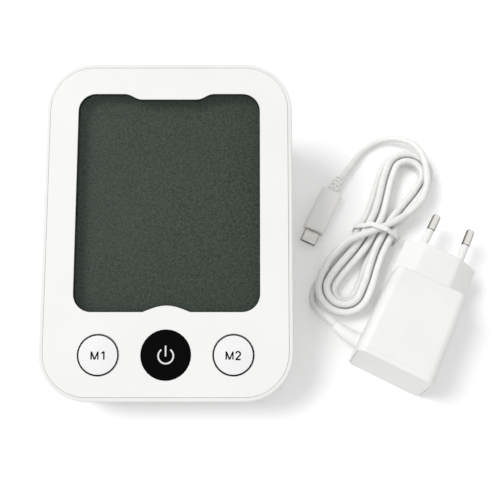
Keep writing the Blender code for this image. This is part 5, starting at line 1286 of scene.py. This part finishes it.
def make_legend(name, body, x, figure):
    """A key's legend: the letter M and a figure, in thin plain strokes."""
    high = LEGEND_HEIGHT / 2 - LEGEND_DROP
    low = high - LEGEND_HEIGHT
    left = LEGEND_LEFT[figure]
    right = left + LEGEND_WIDTH
    corners = [(left, low), (left, high), ((left + right) / 2, low), (right, high), (right, low)]
    strokes = list(zip(corners, corners[1:]))
    if figure == 1:
        top = (ONE_STEM, high)
        strokes += [[(ONE_FLAG, high - FLAG_DROP), top], [top, (ONE_STEM, low)]]
    else:
        bowl = arc((TWO_MIDDLE, high - TWO_RADIUS), TWO_RADIUS, *TWO_BOWL, steps=16)
        strokes += [[*bowl, (TWO_HEEL, low)], [(TWO_LEFT, low), (TWO_RIGHT, low)]]
    make_strokes(name, body, "key_black", INK_BLACK, x, LEGEND_STROKE, strokes)


def make_keys():
    """The three keys with their rings and legends."""
    for figure, x in ((1, -BUTTON_PITCH), (2, BUTTON_PITCH)):
        body = f"m{figure}_key"
        make_key(f"key_m{figure}", f"button_m{figure}", body, "key_white", x, KEY_RADIUS)
        make_key_ring(f"key_ring_m{figure}", body, x)
        make_legend(f"legend_m{figure}", body, x, figure)
    make_key("key_power", "button_power", "power_key", "key_black", 0.0, POWER_RADIUS)
    make_power_symbol()


# Mains adapter

def make_adapter_shell():
    """The housing: narrower at the pins, with soft long edges, a rounded pin end and a hollow inside."""
    shell = add_bar("adapter_housing", ADAPTER_WIDE_END, ADAPTER_HEIGHT, 0.0, ADAPTER_LENGTH,
                    ADAPTER_MIDDLE)
    pick(shell, faces=facing(y=1))
    bpy.ops.transform.resize(value=(ADAPTER_PIN_END / ADAPTER_WIDE_END, 1.0, 1.0),
                             center_override=(0.0, ADAPTER_LENGTH, ADAPTER_MIDDLE))
    done()
    round_edges(shell, runs_along, ADAPTER_CORNER, segments=12)
    round_rim(shell, facing(y=1), END_CAP_INSET, segments=5)
    open_faces(shell, facing(y=-1))
    hollow(shell, ADAPTER_WALL)
    soften(shell, SEAM / 2, segments=2, turn=60)
    return finish_piece(shell, "adapter_white", "adapter", ["adapter_shell"], ADAPTER)


def make_adapter_cap():
    """The end cap, whose outer face leans, and the panel let into that face."""
    top = ADAPTER_MIDDLE + ADAPTER_HEIGHT / 2
    outer = -GAP - END_CAP_THICKNESS
    cap = add_bar("adapter_cap", ADAPTER_WIDE_END, ADAPTER_HEIGHT, outer, -SEAM / 4, ADAPTER_MIDDLE)
    round_edges(cap, runs_along, ADAPTER_CORNER, segments=12)
    round_rim(cap, facing(y=-1), CAP_EDGE, segments=3)
    pick(cap, faces=facing(y=-1, least=0.05))
    lean = math.atan(END_CAP_SLOPE / ADAPTER_HEIGHT)
    bpy.ops.transform.rotate(value=lean, orient_axis="X", center_override=(0.0, outer, top))
    done()
    pick(cap, faces=facing(y=-1, least=0.99))
    bpy.ops.mesh.inset(thickness=CAP_RIM - CAP_EDGE)
    push((0.0, CAP_SUNK, 0.0))
    panel = split_copy(cap, "adapter_end_panel")
    modify(panel, "SOLIDIFY", thickness=CAP_SUNK - SEAM, offset=1.0)
    edit_all(panel)
    bpy.ops.transform.resize(
        value=(1 - 2 * CAP_LINE / ADAPTER_WIDE_END, 1.0, 1 - 2 * CAP_LINE / ADAPTER_HEIGHT),
        center_override=(0.0, outer, ADAPTER_MIDDLE))
    done()
    finish_piece(panel, "adapter_white", "adapter", (), ADAPTER)
    return finish_piece(cap, "adapter_white", "adapter", ["adapter_end_cap"], ADAPTER)


def pin_place(side, along):
    """A place on a pin's axis, measured from the plug block's face; the pins lean inwards."""
    lean = (PIN_BASE_PITCH - PIN_TIP_PITCH) / 2 / PIN_LENGTH
    return Vector((side * (PIN_BASE_PITCH / 2 - lean * along),
                   ADAPTER_LENGTH + GAP + PLUG_BLOCK_LENGTH + along, ADAPTER_MIDDLE))


def make_plug_block():
    """The plug block: a six-sided slug with soft edges, and two sleeves for the pins."""
    start = ADAPTER_LENGTH + GAP
    wing = (PLUG_BLOCK_WIDTH - PLUG_BLOCK_FLAT) / 2
    block = add_bar("plug_slug", PLUG_BLOCK_FLAT, PLUG_BLOCK_HEIGHT, start, start + PLUG_BLOCK_LENGTH,
                    ADAPTER_MIDDLE)
    for side in (-1, 1):
        pick(block, faces=facing(x=side))
        push((side * wing, 0.0, 0.0), (0.0, start, ADAPTER_MIDDLE), (1.0, 1.0, 0.0))
        done()
    tidy_mesh(block)
    round_edges(block, runs_along, PLUG_BLOCK_ROUND, segments=5)
    round_rim(block, facing(y=1), PLUG_BLOCK_EDGE, segments=4)
    for side in (-1, 1):
        sleeve = add_rod("pin_sleeve", pin_place(side, -SLEEVE_ROOT), pin_place(side, SLEEVE_LENGTH),
                         SLEEVE_RADIUS)
        bore = add_rod("pin_bore", pin_place(side, -PIN_INSIDE - GAP), pin_place(side, 2 * SLEEVE_LENGTH),
                       PIN_CORE_RADIUS + GAP, sides=32)
        combine(block, sleeve, "UNION")
        combine(block, bore, "DIFFERENCE")
    return finish_piece(block, "adapter_white", "adapter", ["plug_block"], ADAPTER)


def make_pin(name, node, side):
    """A mains pin: slim core in its sleeve, full bare tip with a round nose."""
    neck = pin_place(side, SLEEVE_LENGTH + GAP)
    pin = add_rod(name, pin_place(side, -PIN_INSIDE), neck, PIN_CORE_RADIUS)
    pick(pin, faces=facing(y=1))
    wide = PIN_RADIUS / PIN_CORE_RADIUS
    push((0.0, 0.0, 0.0), neck, (wide, wide, wide))
    push(pin_place(side, PIN_LENGTH) - neck)
    bpy.ops.mesh.region_to_loop()
    bevel(PIN_NOSE, segments=6)
    done()
    tidy_mesh(pin)
    return finish_piece(pin, "pin_nickel", "adapter", [node], ADAPTER)


def tapered(root_radius, tip_radius, course):
    """A relief's radius at each place of its course."""
    count = len(course) - 1
    return [root_radius + (tip_radius - root_radius) * step / count for step in range(count + 1)]


def ring_rod(name, course, radii, sides=32):
    """A bent round piece: a disc extruded ring by ring along a course of places and directions."""
    place, heading = course[0]
    bpy.ops.object.select_all(action="DESELECT")
    bpy.ops.mesh.primitive_circle_add(vertices=sides, radius=radii[0], fill_type="NGON", location=place,
                                      rotation=heading.to_track_quat("Z", "Y").to_euler())
    piece = new_piece(name)
    edit_all(piece)
    bpy.ops.mesh.select_mode(type="FACE")
    for (before, old_heading), (after, new_heading), old, new in zip(course, course[1:], radii, radii[1:]):
        push(after - before, after, (new / old,) * 3)
        turn = new_heading.xy.angle_signed(old_heading.xy, 0.0)
        if turn:
            bpy.ops.transform.rotate(value=-turn, orient_axis="Z", center_override=after)
    done()
    tidy_mesh(piece)
    return piece


def make_adapter_relief():
    """The adapter's tapered strain relief, drawn back to the housing's wall."""
    course = adapter_relief_course()
    radii = tapered(RELIEF_ROOT_RADIUS, RELIEF_TIP_RADIUS, course)
    root, heading = course[0]
    course.insert(0, (root - heading * GAP, heading))
    radii.insert(0, RELIEF_ROOT_RADIUS)
    relief = ring_rod("adapter_strain_relief", course, radii)
    soften(relief, RELIEF_EDGE, segments=3, turn=50)
    return finish_piece(relief, "adapter_white", "adapter", ["adapter_relief"], ADAPTER, angle=40.0)


# USB plug

def both_ends(centre, normal):
    """True for the faces at both ends of a piece that lies along y."""
    return abs(normal.y) > 0.9


def make_usb_body():
    """The plug's moulded grip, with soft edges all round."""
    grip = add_bar("usb_grip", USB_BODY_WIDTH, USB_BODY_HEIGHT, 0.0, USB_BODY_LENGTH, USB_Z)
    round_edges(grip, runs_along, USB_BODY_ROUND, segments=8)
    round_rim(grip, both_ends, USB_BODY_EDGE, segments=4)
    return finish_piece(grip, "plug_grey", "adapter", ["usb_plug_body"], USB)


def make_usb_shell():
    """The plug's metal shell: a flat round-ended tube."""
    shell = add_bar("usb_metal_shell", USB_SHELL_WIDTH, USB_SHELL_HEIGHT, -GAP - USB_SHELL_LENGTH, -GAP,
                    USB_Z)
    round_edges(shell, runs_along, USB_SHELL_ROUND, segments=8)
    open_faces(shell, both_ends)
    hollow(shell, USB_SHELL_WALL)
    soften(shell, USB_FINE_EDGE, segments=2, turn=60)
    return finish_piece(shell, "pin_nickel", "adapter", ["usb_plug_shell"], USB, USB_METAL)


def make_usb_relief():
    """The plug's strain relief: a tapered sleeve with rows of slots that let it bend."""
    course = usb_relief_course()
    radii = tapered(USB_RELIEF_ROOT_RADIUS, USB_RELIEF_TIP_RADIUS, course)
    relief = ring_rod("usb_strain_relief", course, radii, sides=48)
    cutters = []
    for row in range(USB_RELIEF_ROWS):
        place, heading = course[2 * row + 1]
        radius = radii[2 * row + 1]
        facing_out = Matrix.Translation(place) @ heading.to_track_quat("Y", "Z").to_matrix().to_4x4()
        for slot in range(SLOTS_ROUND):
            turn = 2 * math.pi * (slot + row % 2 / 2) / SLOTS_ROUND
            cutter = add_block("slot_cutter", (-SLOT_LENGTH / 2, -SLOT_WIDTH / 2, radius - SLOT_DEPTH),
                               (SLOT_LENGTH / 2, SLOT_WIDTH / 2, radius + SLOT_DEPTH))
            settle(cutter, facing_out @ Matrix.Rotation(turn, 4, "Y"))
            cutters.append(cutter)
    only(cutters[0])
    for cutter in cutters[1:]:
        cutter.select_set(True)
    bpy.ops.object.join()
    combine(relief, cutters[0], "DIFFERENCE")
    soften(relief, USB_FINE_EDGE, segments=2, turn=40)
    return finish_piece(relief, "plug_grey", "adapter", ["usb_plug_relief"], USB)


# The rest of the frame

def make_port_surround():
    """The recessed wall around the mouth of the USB inlet, inside the port in the case."""
    low, high = [Vector(corner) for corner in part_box("usb_inlet")]
    middle = (low + high) / 2
    start = high.x + SEAM
    end = start + PORT_RIM
    wall = add_block("port_surround", (start, middle.y - PORT_WIDTH / 2, middle.z - PORT_HEIGHT / 2),
                     (end, middle.y + PORT_WIDTH / 2, middle.z + PORT_HEIGHT / 2))
    mouth = add_block("port_mouth", (start - GAP, middle.y - MOUTH_WIDTH / 2, middle.z - MOUTH_HEIGHT / 2),
                      (end + GAP, middle.y + MOUTH_WIDTH / 2, middle.z + MOUTH_HEIGHT / 2))
    round_edges(mouth, lambda a, b: abs(a.x - b.x) > PORT_RIM, MOUTH_ROUND, segments=8)
    combine(wall, mouth, "DIFFERENCE")
    return finish_piece(wall, "white_plastic", "monitor")


def dress_nodes():
    """Gives every CAD node its slot's finish, two cells a turned jacket and the USB plug a black mouth."""
    for node in frame["nodes"].values():
        slots = [material.name.split(".")[0] for material in node.data.materials]
        for index, slot in enumerate(slots):
            node.data.materials[index] = FINISHES[slot]
    turned_jacket = cell_wrap("turned_cell_jacket", cell_middle(), False)
    for index in (2, 4):
        frame["nodes"][f"battery_cell_{index}"].data.materials[0] = turned_jacket
    frame["nodes"]["usb_plug_insert"].data.materials[0] = MOUTH_BLACK


make_camera()
make_world()
make_window_light()
make_table()

FINISHES = make_finishes()
INK_BLACK = printed_ink("ink_black", tint(18, 18, 19), tint(9, 9, 10))
INK_WHITE = printed_ink("ink_white", tint(238, 238, 236), tint(226, 226, 224))
# Painted shade: a slightly darker copy of the white case plastic, for the case shell and the bay lid, to
# darken the rim.
SHADED_SHELL_PLASTIC = moulded_plastic("shell_plastic_painted_shade", tint(240, 240, 238), tint(236, 236, 234), 0.42, 0.00001)
TIE_PLASTIC = moulded_plastic("tie_plastic", tint(244, 244, 242), tint(236, 236, 234), 0.4, 0.00001)
MOUTH_BLACK = moulded_plastic("mouth_black", tint(12, 12, 12), tint(7, 7, 7), 0.6, 0.00001)
USB_METAL = brushed_metal("usb_metal", tint(216, 214, 209), tint(188, 186, 181), USB_TURN, 0.34, 0.0000006)

make_cord([make_usb_body(), make_usb_relief(), make_usb_shell(), frame["nodes"]["usb_plug_insert"]])
make_tie()
dress_nodes()
window_wall = make_cover()
make_display(make_lens_pad(window_wall))
make_window_trim_and_shade(window_wall)
make_keys()
make_adapter_shell()
make_adapter_cap()
make_plug_block()
for side, side_name in ((-1, "left"), (1, "right")):
    make_pin(f"mains_pin_{side_name}", f"plug_pin_{side_name}", side)
make_adapter_relief()
make_port_surround()
refine(merged_copy("rear_shell", "case_shell"), "rear_shell", "monitor", CASE_EDGE, material=SHADED_SHELL_PLASTIC)
refine(merged_copy("battery_cover", "bay_lid"), "battery_cover", "bay_cover", material=SHADED_SHELL_PLASTIC)
refine(merged_copy("cuff_socket", "hose_socket"), "cuff_socket", "monitor")

bpy.context.scene.view_settings.view_transform = "Standard"
